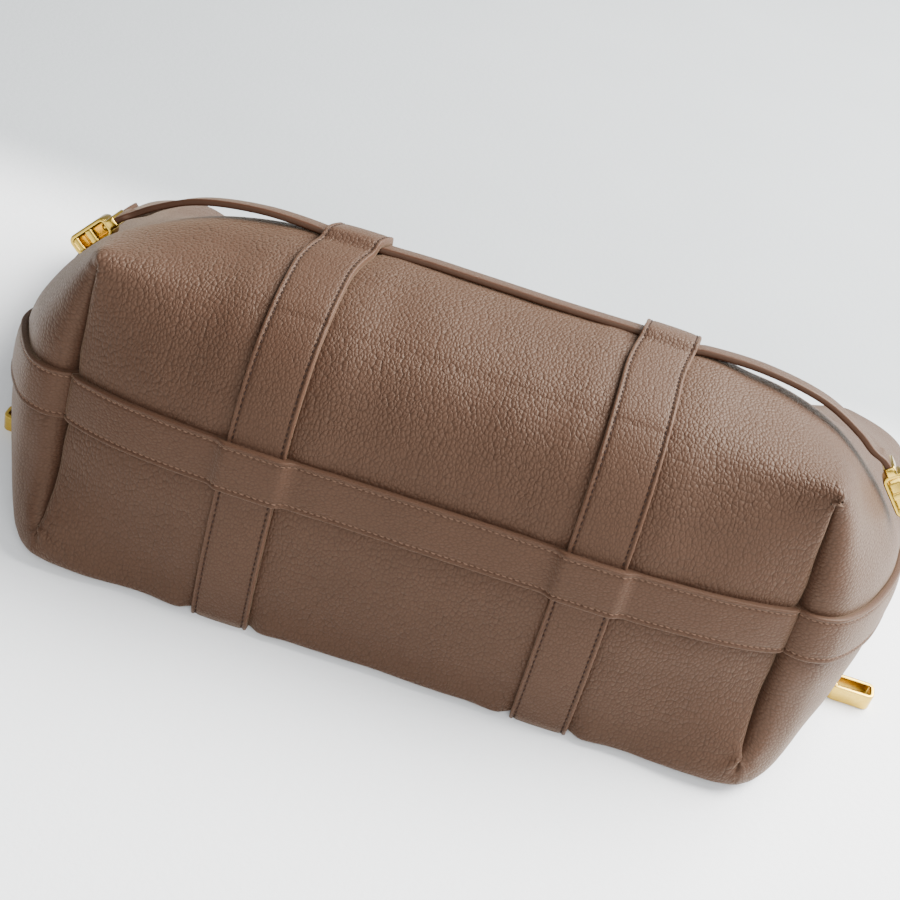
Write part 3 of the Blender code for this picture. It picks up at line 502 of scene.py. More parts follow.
def endIndex(index, low, edge, shape, total):      # an end's net shares a face's edge and the base's
    own = np.zeros(shape, int)
    own[:, 0], own[0, 1:] = index[low:, edge], index[low - 1::-1, edge]
    own[1:, 1:] = total + np.arange((shape[0] - 1) * (shape[1] - 1)).reshape(shape[0] - 1, -1)
    return own


def meshPiece(name, points, faces, uv, materials, slots=None):
    mesh = bpy.data.meshes.new(name)
    mesh.from_pydata([tuple(p) for p in points], [], faces)
    layer = mesh.uv_layers.new(name="Flat")
    uv = np.asarray(uv, float)
    if len(uv) == len(points):
        uv = uv[np.concatenate([np.asarray(f) for f in faces])]
    layer.data.foreach_set("uv", uv.reshape(-1))
    for material in materials:
        mesh.materials.append(material)
    if slots is not None:
        mesh.polygons.foreach_set("material_index", slots)
    mesh.polygons.foreach_set("use_smooth", [True] * len(mesh.polygons))
    mesh.update()
    made = bpy.data.objects.new(name, mesh)
    bpy.context.scene.collection.objects.link(made)
    work = bmesh.new()
    work.from_mesh(mesh)
    bmesh.ops.recalc_face_normals(work, faces=work.faces)
    work.to_mesh(mesh)
    work.free()
    return made


def thicken(made, thick, rim=0):
    shell = made.modifiers.new("thickness", "SOLIDIFY")
    shell.thickness, shell.offset, shell.material_offset_rim = thick, -1, rim
    return made


def attach(made, body, node=None):
    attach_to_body(made, body)
    if node:
        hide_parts(node)


def sweptPiece(name, rings, materials, body, node=None, loop=False, slotOf=None, crease=None):
    count, sides = rings.shape[:2]
    index = np.arange(count * sides).reshape(count, sides)
    index, grid = np.concatenate([index, index[:, :1]], 1), np.concatenate([rings, rings[:, :1]], 1)
    if loop:
        index, grid = np.concatenate([index, index[:1]], 0), np.concatenate([grid, grid[:1]], 0)
    faces, uv = netFaces(index), netCorners(np.stack([lengthAlong(grid, 1), lengthAlong(grid, 0)], -1))
    slots = [slotOf(k % sides) if slotOf else 0 for k in range(len(faces))]
    if not loop:
        for ring, turn in ((0, -1), (-1, 1)):
            faces.append(index[ring, :-1][::turn].tolist())
            spread = rings[ring] - rings[ring].mean(0)
            u = unit(spread[0])
            v = unit(np.cross(u, np.cross(u, unit(spread[sides // 4]))))
            uv = np.concatenate([uv, np.stack([spread @ u, spread @ v], -1)[::turn]])
            slots.append(slotOf(-1) if slotOf else 0)
    made = meshPiece(name, rings.reshape(-1, 3), faces, uv, materials, slots)
    if crease:
        made.data.set_sharp_from_angle(angle=math.radians(crease))
    attach(made, body, node)


# panels: where a value has two entries, 1 is for the front and -1 for the back

panel = {
    "pitch": 0.0022,
    "foldDeep": 0.0062,    # the base and the ends turn in to their seam by this much
    "foldFrom": 0.0042,    # and start from this far away on the base, and on an end
    "foldFromEnd": 0.0125,
    "foldPull": 2.2,       # how long the leather keeps its direction before it turns in
    "foldPullEnd": 1.7,
    "foldIn": 1.5,
    "foldEnds": {1: (0.80, 1.0), -1: (0.72, 0.90)},     # where it closes, in shares of the way to a corner
    "slack": 0.0010,       # height of the slow waves in the leather
    "slackWaves": ((22, 4.1, 1.0), (48, 8.7, 0.35)),    # waves in a metre, seed and share of the height
    "held": (0.15, 0.018, 0.045),       # share of the waves beside a strap, and how far out they grow
    "press": 0.0006,       # how far a strap or a band presses the leather down
    "puff": 0.0007,        # how the leather swells beside it
    "puffAt": 0.010,
    "puffWide": 0.009,
    "pucker": 0.0012,      # small folds round the corners of the base
    "puckerReach": 0.0090,
    "puckerFront": 0.5,    # those in front are smaller by this share
    "puckerPast": 0.06,
    "puckerWaves": 5.2,
    "puckerTurn": 2.1,
    "turn": {1: 0.0080, -1: 0.0050},      # half the length of leather that turns from a face to an end
    "planTurn": {1: 0.004, -1: 0.007},    # the same next to the base
    "edgeTurn": {1: (0.0065, 0.0085), -1: (0.0022, 0.0095)},    # from the base to a face, and at the corners
    "bulge": (0.0015, -0.0082, -0.0005),  # the soft back corners spread on the table
    "bulgeReach": 0.025,
    "edgeOut": 0.0030,     # the back edge spreads as far as the straps beside it
    "edgeReach": 0.010,
    "edgeHeld": 0.0133,
    "flatFrom": (0.015, 0.05),    # the back face comes to lie flat over these shares of the height
    "cornerEase": {1: 0.0085, -1: 0.0105},
}
strapMiddle = (bag["strapIn"] + bag["strapOut"]) / 2
strapWide = bag["strapOut"] - bag["strapIn"]


def pressed(distance):
    under = 1 - smooth(-0.001, 0.0012, distance)
    beside = np.exp(-((distance - panel["puffAt"]) / panel["puffWide"]) ** 2) * (distance > 0)
    return panel["puff"] * beside - panel["press"] * under


def foldShare(side, v):
    return 1 - smooth(*panel["foldEnds"][side], v)


def seamFrame(side, end, v):        # the seam between the base and an end, and the way in from it
    edge = np.full_like(v, end * bag["halfLength"])
    seam = laid(*basePoint(side, edge, v))
    near = laid(*basePoint(side, edge - end * 0.004, v))
    beyond = laid(*endPoint(side, end, np.full_like(v, 0.02), depthOf(side) * v))
    ahead = laid(*basePoint(side, edge, v + 0.01)) - seam
    inward = unit(unit(np.cross(seam - near, ahead)) + unit(np.cross(beyond - seam, ahead)))
    return seam, np.where((inward @ up)[..., None] < 0, -inward, inward)


def folded(points, heading, seam, inward, away, reach, deep, pull):
    reach, deep = np.maximum(reach, 1e-6)[..., None], deep[..., None]
    t = np.clip(1 - away[..., None] / reach, 0, 1)
    start = points - heading * (reach * t)          # back to where the fold starts
    bent = hermite(t, start, heading * reach * pull, seam + inward * deep, inward * deep * panel["foldIn"])
    return np.where(t > 0, bent, points)


def pucker(side, away, v):
    share = 1 if side < 0 else panel["puckerFront"]
    past = (v - panel["foldEnds"][side][0] - panel["puckerPast"]) * depthOf(side)
    far, angle = np.hypot(away, past), np.arctan2(away, past)
    fade = np.exp(-(far / (panel["puckerReach"] * share)) ** 2) * smooth(0, 0.0025, far)
    waves = np.cos(panel["puckerWaves"] * angle) * (angle < panel["puckerTurn"])
    return -panel["pucker"] * share * waves * fade


def slackWave(points, x=None):
    wave = sum(ripple(points, scale, seed) * share for scale, seed, share in panel["slackWaves"])
    if x is None:
        return wave * panel["slack"]
    held, low, high = panel["held"]
    return wave * panel["slack"] * (held + (1 - held) * smooth(low, high, np.abs(np.abs(x) - strapMiddle)))


def besideStraps(x, toBand):
    strap = np.minimum(np.abs(np.abs(x) - bag["strapIn"]), np.abs(np.abs(x) - bag["strapOut"]))
    inside = (np.abs(x) > bag["strapIn"]) & (np.abs(x) < bag["strapOut"])
    return pressed(np.where(inside, -strap, strap)) + pressed(toBand)


def roundedRows(points, corners, reach):        # each row is averaged along itself near its corners
    rounded = points.copy()
    spots, weights = np.linspace(-1, 1, 9), np.array([0.5] + [1] * 7 + [0.5]) / 8
    for r, line in enumerate(points):
        if reach[r] < 1e-5:
            continue
        length = lineLength(line)
        near = np.min([np.abs(length - length[c]) for c in corners], axis=0)
        at = length + spots[:, None] * reach[r] * (1 - smooth(1.0, 2.6, near / reach[r]))
        for k in range(3):
            rounded[r, :, k] = weights @ np.interp(at, length, line[:, k])
    return rounded


def panelColumns():
    crowd = np.array([0.012, 0.0102, 0.0086, 0.0072, 0.006, 0.005, 0.0041, 0.0033, 0.0026, 0.002, 0.0014,
                      0.0009, 0.0004, 0.0])         # distances from a corner, where columns lie closer
    half = np.arange(0, bag["halfLength"] - crowd[0] - 0.001, panel["pitch"])
    half = np.concatenate([half, bag["halfLength"] - crowd])
    return np.concatenate([-half[:0:-1], half])


baseRows = np.concatenate([np.linspace(0.002, 0.8, 25)[:-1], np.linspace(0.8, 1, 15)])
faceRows = np.concatenate([[0, 0.0015, 0.004, 0.0075, 0.012, 0.0165, 0.0215, 0.027, 0.034, 0.042, 0.051,
                            0.061, 0.072, 0.084, 0.097], np.linspace(0.11, 1, 96)])


def bell(distance, reach, power=2):
    return np.exp(-(distance / reach) ** power)[..., None]


def panelNets(side, columns):
    x, shares, count = np.abs(columns), faceRows[:, None], len(columns)
    base = laid(*basePoint(side, columns[None, :], baseRows[:-1, None]))
    face = laid(*facePoint(side, columns[None, :], shares))
    depth = np.abs(cornerLine(side, shares)[2]) - (beltDent(shares) if side < 0 else 0)
    across = depth * baseRows[::-1][None, :]
    ends = {end: laid(*endPoint(side, end, shares, across)) for end in (-1, 1)}
    rim = ends[-1].shape[1] - 1
    ring = np.concatenate([ends[-1][:, :0:-1], face, ends[1][:, 1:]], 1)
    plan = panel["planTurn"][side]
    reach = plan + (panel["turn"][side] - plan) * smooth(0.0, 0.11, faceRows)
    ring = roundedRows(ring, (rim, rim + count - 1), reach)
    for edge in (0, count - 1):
        pulled = ring[0, rim + edge] - face[0, edge]
        base = base + pulled * bell(np.linalg.norm(base - face[0, edge], axis=-1), 0.008, 1.5)
    ends = {-1: ring[:, rim::-1].copy(), 1: ring[:, rim + count - 1:].copy()}
    low, main = len(base), np.concatenate([base, ring[:, rim:rim + count]], 0)
    free = smooth(bag["strapOut"] + 0.001, bag["strapOut"] + 0.02, x)     # where no strap holds the edge
    free = free + (1 - smooth(bag["strapIn"] - 0.02, bag["strapIn"] - 0.001, x)) * (side < 0)
    turn, cornerTurn = panel["edgeTurn"][side]
    turn = (turn + (cornerTurn - turn) * smooth(0.125, 0.158, x)) * free
    soft = roundedRows(main.transpose(1, 0, 2), (low,), turn).transpose(1, 0, 2)
    moved = soft - main
    for end, edge in ((-1, 0), (1, count - 1)):
        fromCorner, fromSeam = (bell(lengthAlong(ends[end], axis), 0.006, 1) for axis in (1, 0))
        onLine, onSeam = moved[low:, edge][:, None], moved[low::-1, edge][None]
        ends[end] += onLine * fromCorner + (onSeam - moved[low, edge]) * fromSeam
    if side < 0:
        fromEdge = np.abs(lengthAlong(soft, 0) - lengthAlong(soft, 0)[low])
        spread = smooth(0.0, 0.007, np.abs(x - strapMiddle) - panel["edgeHeld"])
        spread = spread * (1 - smooth(0.138, 0.162, x))
        soft[..., 1] -= panel["edgeOut"] * spread * np.exp(-(fromEdge / panel["edgeReach"]) ** 2)
        for end, edge in ((-1, 0), (1, count - 1)):
            corner, push = soft[low, edge].copy(), np.array(panel["bulge"]) * [end, 1, 1]
            for net in (soft, ends[end]):
                net += push * bell(np.linalg.norm(net - corner, axis=-1), panel["bulgeReach"])
                net[..., 2] = np.maximum(net[..., 2], 0.0006)
    return soft, low, ends, across


def eased(points, faces, corners, reach, turns=24):
    quads = np.array(faces)
    edges = np.unique(np.sort(np.concatenate([quads[:, [k, (k + 1) % 4]] for k in range(4)]), axis=1), axis=0)
    count = np.bincount(edges.reshape(-1), minlength=len(points))
    near = np.min([np.linalg.norm(points - c, axis=-1) for c in corners], axis=0)
    weight = (1 - smooth(0.35 * reach, reach, near))[:, None] * 0.6
    for turn in range(turns):
        total = np.zeros_like(points)
        for a, b in ((0, 1), (1, 0)):
            for k in range(3):
                total[:, k] += np.bincount(edges[:, a], points[edges[:, b], k], len(points))
        points = points + (total / np.maximum(count, 1)[:, None] - points) * weight
    return points


def makePanel(name, side, node):
    columns = panelColumns()
    count, edges = len(columns), ((-1, 0), (1, len(columns) - 1))
    main, low, ends, across = panelNets(side, columns)
    away = bag["halfLength"] - np.abs(columns)[None, :]
    v = np.concatenate([baseRows[:-1], 1 + faceRows * bag["height"] / depthOf(side)])[:, None]
    part = foldShare(side, baseRows)
    for end, edge in edges:
        seam, inward = main[:low + 1, edge].copy(), seamFrame(side, end, baseRows)[1]
        heading = unit(np.gradient(main[:low + 1], axis=1)) * end
        here = np.sign(columns)[None, :] == end
        main[:low + 1] = folded(main[:low + 1], heading, seam[:, None], inward[:, None],
                                np.where(here, away, 1.0), (panel["foldFrom"] * part)[:, None],
                                (panel["foldDeep"] * part)[:, None], panel["foldPull"])
        net, lower = ends[end], part[::-1][None, :]
        ends[end] = folded(net, -unit(np.gradient(net, axis=0)), seam[::-1][None], inward[::-1][None],
                           lengthAlong(net, 0), panel["foldFromEnd"] * lower, panel["foldDeep"] * lower,
                           panel["foldPullEnd"])
        ends[end][:, 0] = main[low:, edge]
    toBand = np.concatenate([baseRows[:-1] * depthOf(side) - bag["halfBand"],
                             depthOf(side) + faceRows * bag["height"]])[:, None]
    wave = slackWave(main, columns[None, :]) + besideStraps(columns[None, :], toBand) + pucker(side, away, v)
    if side < 0:
        flat = np.concatenate([np.zeros(low), smooth(*panel["flatFrom"], faceRows)])[:, None]
        wave = wave * (1 - flat) + np.minimum(wave, 0) * flat * 0.3
    rim = ends[-1].shape[1] - 1
    ring = np.concatenate([ends[-1][:, :0:-1], main[low:], ends[1][:, 1:]], 1)
    ringNormals = outwardNormals(ring, len(ring) // 2, rim + count // 2, proud * side)
    endNormals = {-1: ringNormals[:, rim::-1], 1: ringNormals[:, rim + count - 1:]}
    normals = outwardNormals(main, low // 3, count // 2, -up)
    normals[low + 2:] = ringNormals[2:, rim:rim + count]
    index, flatMain = np.arange(main.shape[0] * count).reshape(-1, count), flatMap(main)
    total = index.size
    parts = [(main.reshape(-1, 3), normals.reshape(-1, 3), wave.reshape(-1))]
    faces, uv = netFaces(index), [netCorners(flatMain)]
    slots = [0] * len(faces)
    for end, edge in edges:
        net = ends[end]
        fromSeam = lengthAlong(net, 0)
        wave = slackWave(net) + pressed(across - bag["halfBand"]) * smooth(0, 0.01, fromSeam)
        wave = wave + pucker(side, fromSeam, baseRows[::-1][None, :])
        added = netFaces(endIndex(index, low, edge, net.shape[:2], total))
        inner = [values[1:, 1:] for values in (net, endNormals[end], wave)]
        parts.append((inner[0].reshape(-1, 3), inner[1].reshape(-1, 3), inner[2].reshape(-1)))
        total += len(parts[-1][0])
        uv.append(netCorners(np.stack([flatMain[low:, edge:edge + 1, 0] + end * lengthAlong(net, 1),
                                       flatMain[low, edge, 1] + fromSeam], -1)))
        faces += added
        slots += [1] * len(added)
    points, normals, waves = (np.concatenate(values) for values in zip(*parts))
    corners = [points[index[low, edge]] for end, edge in edges]
    points = eased(points, faces, corners, panel["cornerEase"][side]) + normals * waves[:, None]
    points[:, 2] = np.maximum(points[:, 2], 0.0003)
    made = meshPiece(name, points, faces, np.concatenate(uv), [pebbled, pebbledEnd, litFoldedEdge], slots)
    thicken(made, bag["leather"], 2)
    attach(made, "bag", node)


makePanel("frontPanel", 1, "front_panel")
makePanel("backPanel", -1, "back_panel")
print("panels made")


# strips laid on the panels, and their stitches

strip = {
    "edgeRound": 0.0008,
    "bead": 0.00022,       # how far the folded edge stands over the strip
    "crown": 0.0002,
    "sink": 0.0004,        # how far a strip's underside goes into the leather under it
    "stitchIn": 0.0022,    # from the edge of a strap or band to its stitches
    "stitchPitch": 0.0029,
    "stitchLong": 0.0021,
    "stitchThick": 0.00034,
    "stitchSlant": 0.10,
    "stitchUp": 0.0001,
    "stitchShape": [(-0.5, 0.0, -0.9), (-0.46, 0.55, -0.5), (-0.32, 0.92, 0.0), (0.0, 1.0, 0.25),
                    (0.32, 0.92, 0.0), (0.46, 0.55, -0.5), (0.5, 0.0, -0.9)],     # place, radius, lift
    "channel": 0.00045,    # depth of the channel that the stitches lie in, and its shape across
    "channelShape": [(-0.00045, 0.45), (-0.0002, 0.9), (0, 1), (0.00025, 0.85), (0.0006, 0.3), (0.0012, 0)],
    "tuck": 0.0045,        # the straps start under the base band, this far from the seam
    "bandStop": 0.0024,    # a band turns in this far from the seam, where the bands meet
    "bandScale": 0.30,     # metres along an end for one whole share of the height, close to the base
    "bandClose": 0.004,    # the base band has closer stations over this length at its ends
}


def stripProfile(width, thick):
    half, r, top, line = width / 2, strip["edgeRound"], thick + strip["bead"], strip["stitchIn"]
    rim = [(0, -strip["sink"]), (0, thick * 0.35), (0, top - r)]
    for angle in (k * math.pi / 8 for k in range(1, 5)):
        rim.append((r * (1 - math.cos(angle)), top - r + r * math.sin(angle)))
    rim.append((line - 0.0009, top - 0.00004))
    rim += [(line + aside, thick - strip["channel"] * share) for aside, share in strip["channelShape"]]
    rim += [(e, thick + strip["crown"] * (1 - ((half - e) / (half - line)) ** 2))
            for e in np.linspace(line + 0.0024, half, 4)]
    left = [(e - half, height) for e, height in rim]
    return np.array(left + [(-w, height) for w, height in left[-2::-1]])


def stitchesAlong(line, outs, middles, reach=0.0008):
    length = lineLength(line)

    def at(distance, values):
        return np.stack([np.interp(distance, length, values[:, k]) for k in range(3)], -1)

    return at(middles, line), at(middles + reach, line) - at(middles - reach, line), at(middles, outs)


def stitchPiece(name, rows, material, body="bag"):
    points, faces, sides = [], [], 6
    for middles, ways, outs in rows:
        for middle, way, out in zip(middles, unit(ways), outs):
            aside = np.cross(way, out)
            way = way + aside * strip["stitchSlant"]
            first = len(points)
            for place, radius, rise in strip["stitchShape"]:
                centre = middle + way * place * strip["stitchLong"] + out * rise * strip["stitchThick"]
                for turn in (2 * math.pi * s / sides for s in range(sides if radius else 1)):
                    spoke = aside * math.cos(turn) + out * math.sin(turn)
                    points.append(centre + spoke * radius * strip["stitchThick"])
            rings = [first + 1 + r * sides for r in range(len(strip["stitchShape"]) - 2)]
            for s in range(sides):
                t = (s + 1) % sides
                faces.append((first, rings[0] + t, rings[0] + s))
                faces.append((rings[-1] + sides, rings[-1] + s, rings[-1] + t))
                for low, high in zip(rings, rings[1:]):
                    faces.append((low + s, low + t, high + t, high + s))
    points = np.array(points)
    attach(meshPiece(name, points, faces, points[:, :2], [material]), body)


def stripPiece(name, stitches, surface, stations, width, thick, lift, materials, node):
    w, height = stripProfile(width, thick).T
    points, normals = surface(w[None, :], stations[:, None])
    shown = points + normals * (lift(stations)[:, None] + height[None, :])[..., None]
    rows, cols = shown.shape[:2]
    index, flat = np.arange(rows * cols).reshape(rows, cols), flatMap(shown)
    slots = np.zeros((rows - 1, cols - 1), int)
    slots[:, :6] = slots[:, -6:] = 1        # the folded edges
    slots = slots.reshape(-1).tolist() + [1, 1] + [0] * (rows - 1)      # then the two ends and the underside
    under, flatUnder = (np.stack([net[:-1, 0], net[1:, 0], net[1:, -1], net[:-1, -1]], 1)
                        for net in (index, flat))
    faces = netFaces(index) + [index[0, ::-1].tolist(), index[-1].tolist()] + under.tolist()
    uv = np.concatenate([netCorners(flat), flat[0, ::-1], flat[-1], flatUnder.reshape(-1, 2)])
    attach(meshPiece(name, shown.reshape(-1, 3), faces, uv, materials[:2], slots), "bag", node)
    found = []
    for w in (strip["stitchIn"] - width / 2, width / 2 - strip["stitchIn"]):
        fine = np.linspace(stations[0], stations[-1], 1200)
        points, normals = (values[:, 1] for values in surface(np.array([[w - 0.0004, w, w + 0.0004]]),
                                                              fine[:, None]))
        height = lift(fine) + thick - strip["channel"] + strip["stitchUp"]
        line = points + normals * height[:, None]
        count = int((lineLength(line)[-1] - 0.003) / strip["stitchPitch"])
        found.append(stitchesAlong(line, normals, 0.002 + (np.arange(count) + 0.5) * strip["stitchPitch"]))
    stitchPiece(stitches, found, materials[2])


def panelSurface(side, middle):
    def place(x, v):
        onBase = laid(*basePoint(side, x, np.clip(v + 1, 0.0001, 1)))
        onFace = laid(*facePoint(side, x, np.clip(v, 0, 1)))
        return np.where((v < 0)[..., None], onBase, onFace)

    def surface(w, station):
        x, v, step = middle + w + 0 * station, station + 0 * w, 0.0005
        points = place(x, v)
        along = place(x, v + step * 2) - place(x, v - step * 2)
        n = unit(np.cross(place(x + step, v) - place(x - step, v), along))
        n = np.where((n @ (proud * side) + (n @ -up) < 0)[..., None], -n, n)
        wave = slackWave(points, x)
        if side < 0:
            wave = wave * (1 - smooth(*panel["flatFrom"], v))
        return points + n * wave[..., None], n

    return surface


def overBelt(stations):
    lift, h = bag["beltThick"] + 2 * bag["fit"], stations * bag["height"]
    return lift * between(bag["beltLow"] - 0.001, bag["beltHigh"] + 0.001, bag["beltRamp"], h)


def makeStraps():
    looks = (strapLeather, litFoldedEdge, stitchThread)
    for sideName, side in bothFaces:
        tuck = -(1 - strip["tuck"] / depthOf(side))
        stations = np.concatenate([np.linspace(tuck, 0, 46)[:-1], np.linspace(0, 1, 128)])
        lift = overBelt if side > 0 else lambda s: beltDent(np.clip(s, 0, 1))
        for endName, end in bothEnds:
            own = sideName.title() + endName.title()
            stripPiece("strap" + own, "stitches" + own, panelSurface(side, end * strapMiddle), stations,
                       strapWide, bag["strapThick"], lift, looks, f"strap_{sideName}_{endName}")


def baseBandSurface(w, station):
    x, w, step = station + 0 * w, w + 0 * station, 0.0005

    def place(x):
        front = laid(*basePoint(1, x, np.abs(w) / depthOf(1)))
        back = laid(*basePoint(-1, x, np.abs(w) / depthOf(-1)))
        return np.where((w > 0)[..., None], front, back)

    points, along = place(x), unit(place(x + step) - place(x - step))
    for end in (-1, 1):
        for side in (-1, 1):
            here = (np.sign(x) == end) & (np.where(w > 0, 1, -1) == side)
            seam, inward = seamFrame(side, end, np.abs(w) / depthOf(side))
            part = foldShare(side, np.abs(w) / depthOf(side))
            away = np.where(here, bag["halfLength"] - np.abs(x), 1.0)
            points = folded(points, along * end, seam, inward, away, panel["foldFrom"] * part,
                            panel["foldDeep"] * part, panel["foldPull"])
    n = gridNormals(points, -up)
    n = np.where((n @ up > 0.3)[..., None], -n, n)
    return points + n * slackWave(points, x)[..., None], n


def overStraps(stations):
    lift = bag["strapThick"] + bag["fit"]
    return lift * between(bag["strapIn"] + 0.0005, bag["strapOut"] - 0.0005, 0.0055, np.abs(stations))


def endBandSurface(end):
    def place(share, w):
        share = np.clip(share, 0, 1)
        front, back = endPoint(1, end, share, np.abs(w)), endPoint(-1, end, share, np.abs(w))
        return np.where((w > 0)[..., None], laid(*front), laid(*back))

    def surface(w, station):
        share, w, step = station + 0 * w, w + 0 * station, 0.0008
        points = place(share, w)
        upward = place(share + step, w) - place(share - step, w)
        n = unit(np.cross(upward, place(share, w + step) - place(share, w - step)))
        n = np.where((n @ (np.array([end, 0, 0]) - 0.4 * up) < 0)[..., None], -n, n)
        seams = zip(seamFrame(1, end, np.abs(w) / depthOf(1)), seamFrame(-1, end, np.abs(w) / depthOf(-1)))
        seam, inward = (np.where((w > 0)[..., None], front, back) for front, back in seams)
        away = np.linalg.norm(points - seam, axis=-1)
        points = folded(points, -unit(upward), seam, inward, away, np.full_like(share, panel["foldFromEnd"]),
                        np.full_like(share, panel["foldDeep"]), panel["foldPullEnd"])
        turned = gridNormals(points, np.array([end, 0, 0]))
        n = np.where((away < panel["foldFromEnd"] * 1.3)[..., None], turned, n)
        return points + n * slackWave(points)[..., None], n

    return surface


def makeBands():
    width, close, looks = bag["halfBand"] * 2, strip["bandClose"], (bandLeather, litBandEdge, bandThread)
    edge = bag["halfLength"] - strip["bandStop"]
    dense = np.linspace(edge - close, edge, 9)
    stations = np.concatenate([-dense[::-1], np.linspace(close - edge, edge - close, 180)[1:-1], dense])
    stripPiece("baseBand", "stitchesBaseBand", baseBandSurface, stations, width, bag["bandThick"],
               lambda s: overStraps(s) + bag["fit"], looks, "base_band")
    stations = np.concatenate([np.linspace(strip["bandStop"] / strip["bandScale"], 0.12, 30)[:-1],
                               np.linspace(0.12, 1, 90)])
    for endName, end in bothEnds:
        title = endName.title()
        stripPiece("endBand" + title, "stitchesEndBand" + title, endBandSurface(end), stations, width,
                   bag["bandThick"], lambda s: 0 * s + bag["fit"], looks, "end_band_" + endName)


makeStraps()
makeBands()
print("straps and bands made")


# belts and their metal ends

belt = {
    "width": 0.014,
    "thick": 0.003,
    "round": 0.0009,
    "crown": 0.00015,
    "stations": (0.02145, 0.04, 0.05875, 0.06275, 0.076, 0.08925, 0.09325, 0.11715, 0.1419, 0.157575, 0.165),
    "lift": 0.0052,        # how far the front belt stands off the face beyond the straps
    "lifts": (0, 0, 0, 0, 0, 0, 0.15, 0.65, 1, 1, 1),      # shares of that at the stations
    "in": 0.0015,          # how far a belt goes into its metal tip
    "tip": 0.0045,
    "lip": 0.0012,         # how far a metal tip stands out round its belt
    "tipEdge": 0.0005,
    "tipCorner": 0.0013,
    "pin": 0.0014,
    "head": 0.0022,
    "headShape": [(0, 0.86), (0.0455, 0.95), (0.3, 1), (0.7, 0.95), (1.05, 0.78), (1.3, 0.5), (1.42, 0.2)],
    "length": 0.022,       # of a swivel loop
    "across": 0.0105,
    "deep": 0.009,
    "wall": 0.0022,
    "corner": 0.0035,
    "loopRound": 0.0006,
    "bar": 0.0038,         # of a clasp: its middle bar, the block at its end and the plate behind them
    "block": 0.0042,
    "blockIn": 0.0026,
    "plateIn": 0.0012,
    "collar": [(-0.0001, 0.0018), (-0.0001, 0.0027), (-0.00022, 0.0030), (0.0003, 0.0030), (0.0003, 0.0018)],
}


def roundedOutline(length, width, corner, steps=5):
    corner = min(corner, length / 2 - 1e-6, width / 2 - 1e-6)
    points = []
    for sx, sy, start in ((1, 1, 0), (-1, 1, 1), (-1, -1, 2), (1, -1, 3)):
        for k in range(steps + 1):
            angle = (start + k / steps) * math.pi / 2
            points.append((sx * (length / 2 - corner) + corner * math.cos(angle),
                           sy * (width / 2 - corner) + corner * math.sin(angle)))
    return np.array(points)


def smoothPath(values, steps=10):
    values = np.asarray(values, float)
    padded = np.concatenate([[2 * values[0] - values[1]], values, [2 * values[-1] - values[-2]]])
    gaps = np.sqrt(np.maximum(np.linalg.norm(np.diff(padded[:, :3], axis=0), axis=1), 1e-9))
    path = []
    for i in range(1, len(padded) - 2):
        a, b, c = gaps[i - 1:i + 2]
        p0, p1, p2, p3 = padded[i - 1:i + 3]
        wayOne = (p1 - p0) / a - (p2 - p0) / (a + b) + (p2 - p1) / b
        wayTwo = (p2 - p1) / b - (p3 - p1) / (b + c) + (p3 - p2) / c
        path += [hermite(t, p1, wayOne * b, p2, wayTwo * b) for t in np.arange(steps) / steps]
    return np.array(path + [padded[-2]])


def jointAt(name):
    joint = next(joint for joint in frame["joints"] if joint["name"] == name)
    return np.array(joint["pos_m"]), unit(np.array(joint["axis"], float))


def outOf(along, upward, outward):
    out = unit(np.cross(along, upward))
    return out if out @ outward > 0 else -out


def beltEnd(centre, along):
    return centre - along * (belt["length"] / 2 + belt["tip"] + 2 * bag["fit"])


def frontBeltPath():
    half, lifts = belt["stations"], dict(zip(belt["stations"], belt["lifts"]))

    def onFace(x, share):
        return laid(*facePoint(1, np.array(x), share))

    stations = []
    for x in [-h for h in half[::-1]] + [0.0] + list(half):
        under, over = (onFace(x, bag[key] / bag["height"]) for key in ("beltLow", "beltHigh"))
        tilt, step = unit(over - under), math.copysign(0.0003, x)
        out = outOf(onFace(x + step, beltShare) - onFace(x - step, beltShare), tilt, np.array([0, 0, 1]))
        here = (under + over) / 2
        lift = bag["fit"] + belt["thick"] / 2 + belt["lift"] * lifts.get(abs(x), 0)
        lift += float(slackWave(here, np.array(x))) * (abs(x) < bag["strapOut"])
        stations.append(np.concatenate([here + out * lift, out, tilt]))
    for endName, end in bothEnds:
        centre, along = jointAt(f"front_clasp_{endName}_swivel")
        out, last = outOf(along, up, np.array([end, 0, 0])), beltEnd(centre, along)
        near = stations[0][:3] if end < 0 else stations[-1][:3]
        middle = (last - along * np.linalg.norm(last - near) * 0.42 + near) / 2 + (last - near) * 0.22
        extra = [np.concatenate([middle, out, up]), np.concatenate([last + along * belt["in"], out, up])]
        stations = extra[::-1] + stations if end < 0 else stations + extra
    return smoothPath(stations)


def backBeltPath():
    joints = [jointAt(f"back_ring_{endName}_swivel") for endName, end in bothEnds]
    line = np.linspace(*(beltEnd(centre, along) + along * belt["in"] for centre, along in joints), 60)
    line[:, 2] = bag["strapThick"] + bag["fit"] + belt["thick"] / 2
    return np.concatenate([line, np.tile([0, 0, 1, 0, 1, 0], (60, 1))], 1)


def beltPiece(name, path, node):
    section = roundedOutline(belt["width"], belt["thick"], belt["round"], 4)
    crown = belt["crown"] * (1 - (2 * section[:, 0] / belt["width"]) ** 2) * np.sign(section[:, 1])
    rings = path[:, None, :3] + path[:, None, 6:9] * section[None, :, :1] + path[:, None, 3:6] * (
        section[:, 1] + crown)[None, :, None]
    faces = (4, 14)         # the upper and the lower face are leather, the edges are painted
    sweptPiece(name, rings, [beltPaint, strapLeather], "bag", node, slotOf=lambda k: 1 if k in faces else 0)


def placed(centre, axes, rings):        # rings of places along a piece's own axes, as points in the bag
    return np.array([[centre + sum(axis * value for axis, value in zip(axes, place)) for place in ring]
                     for ring in rings])


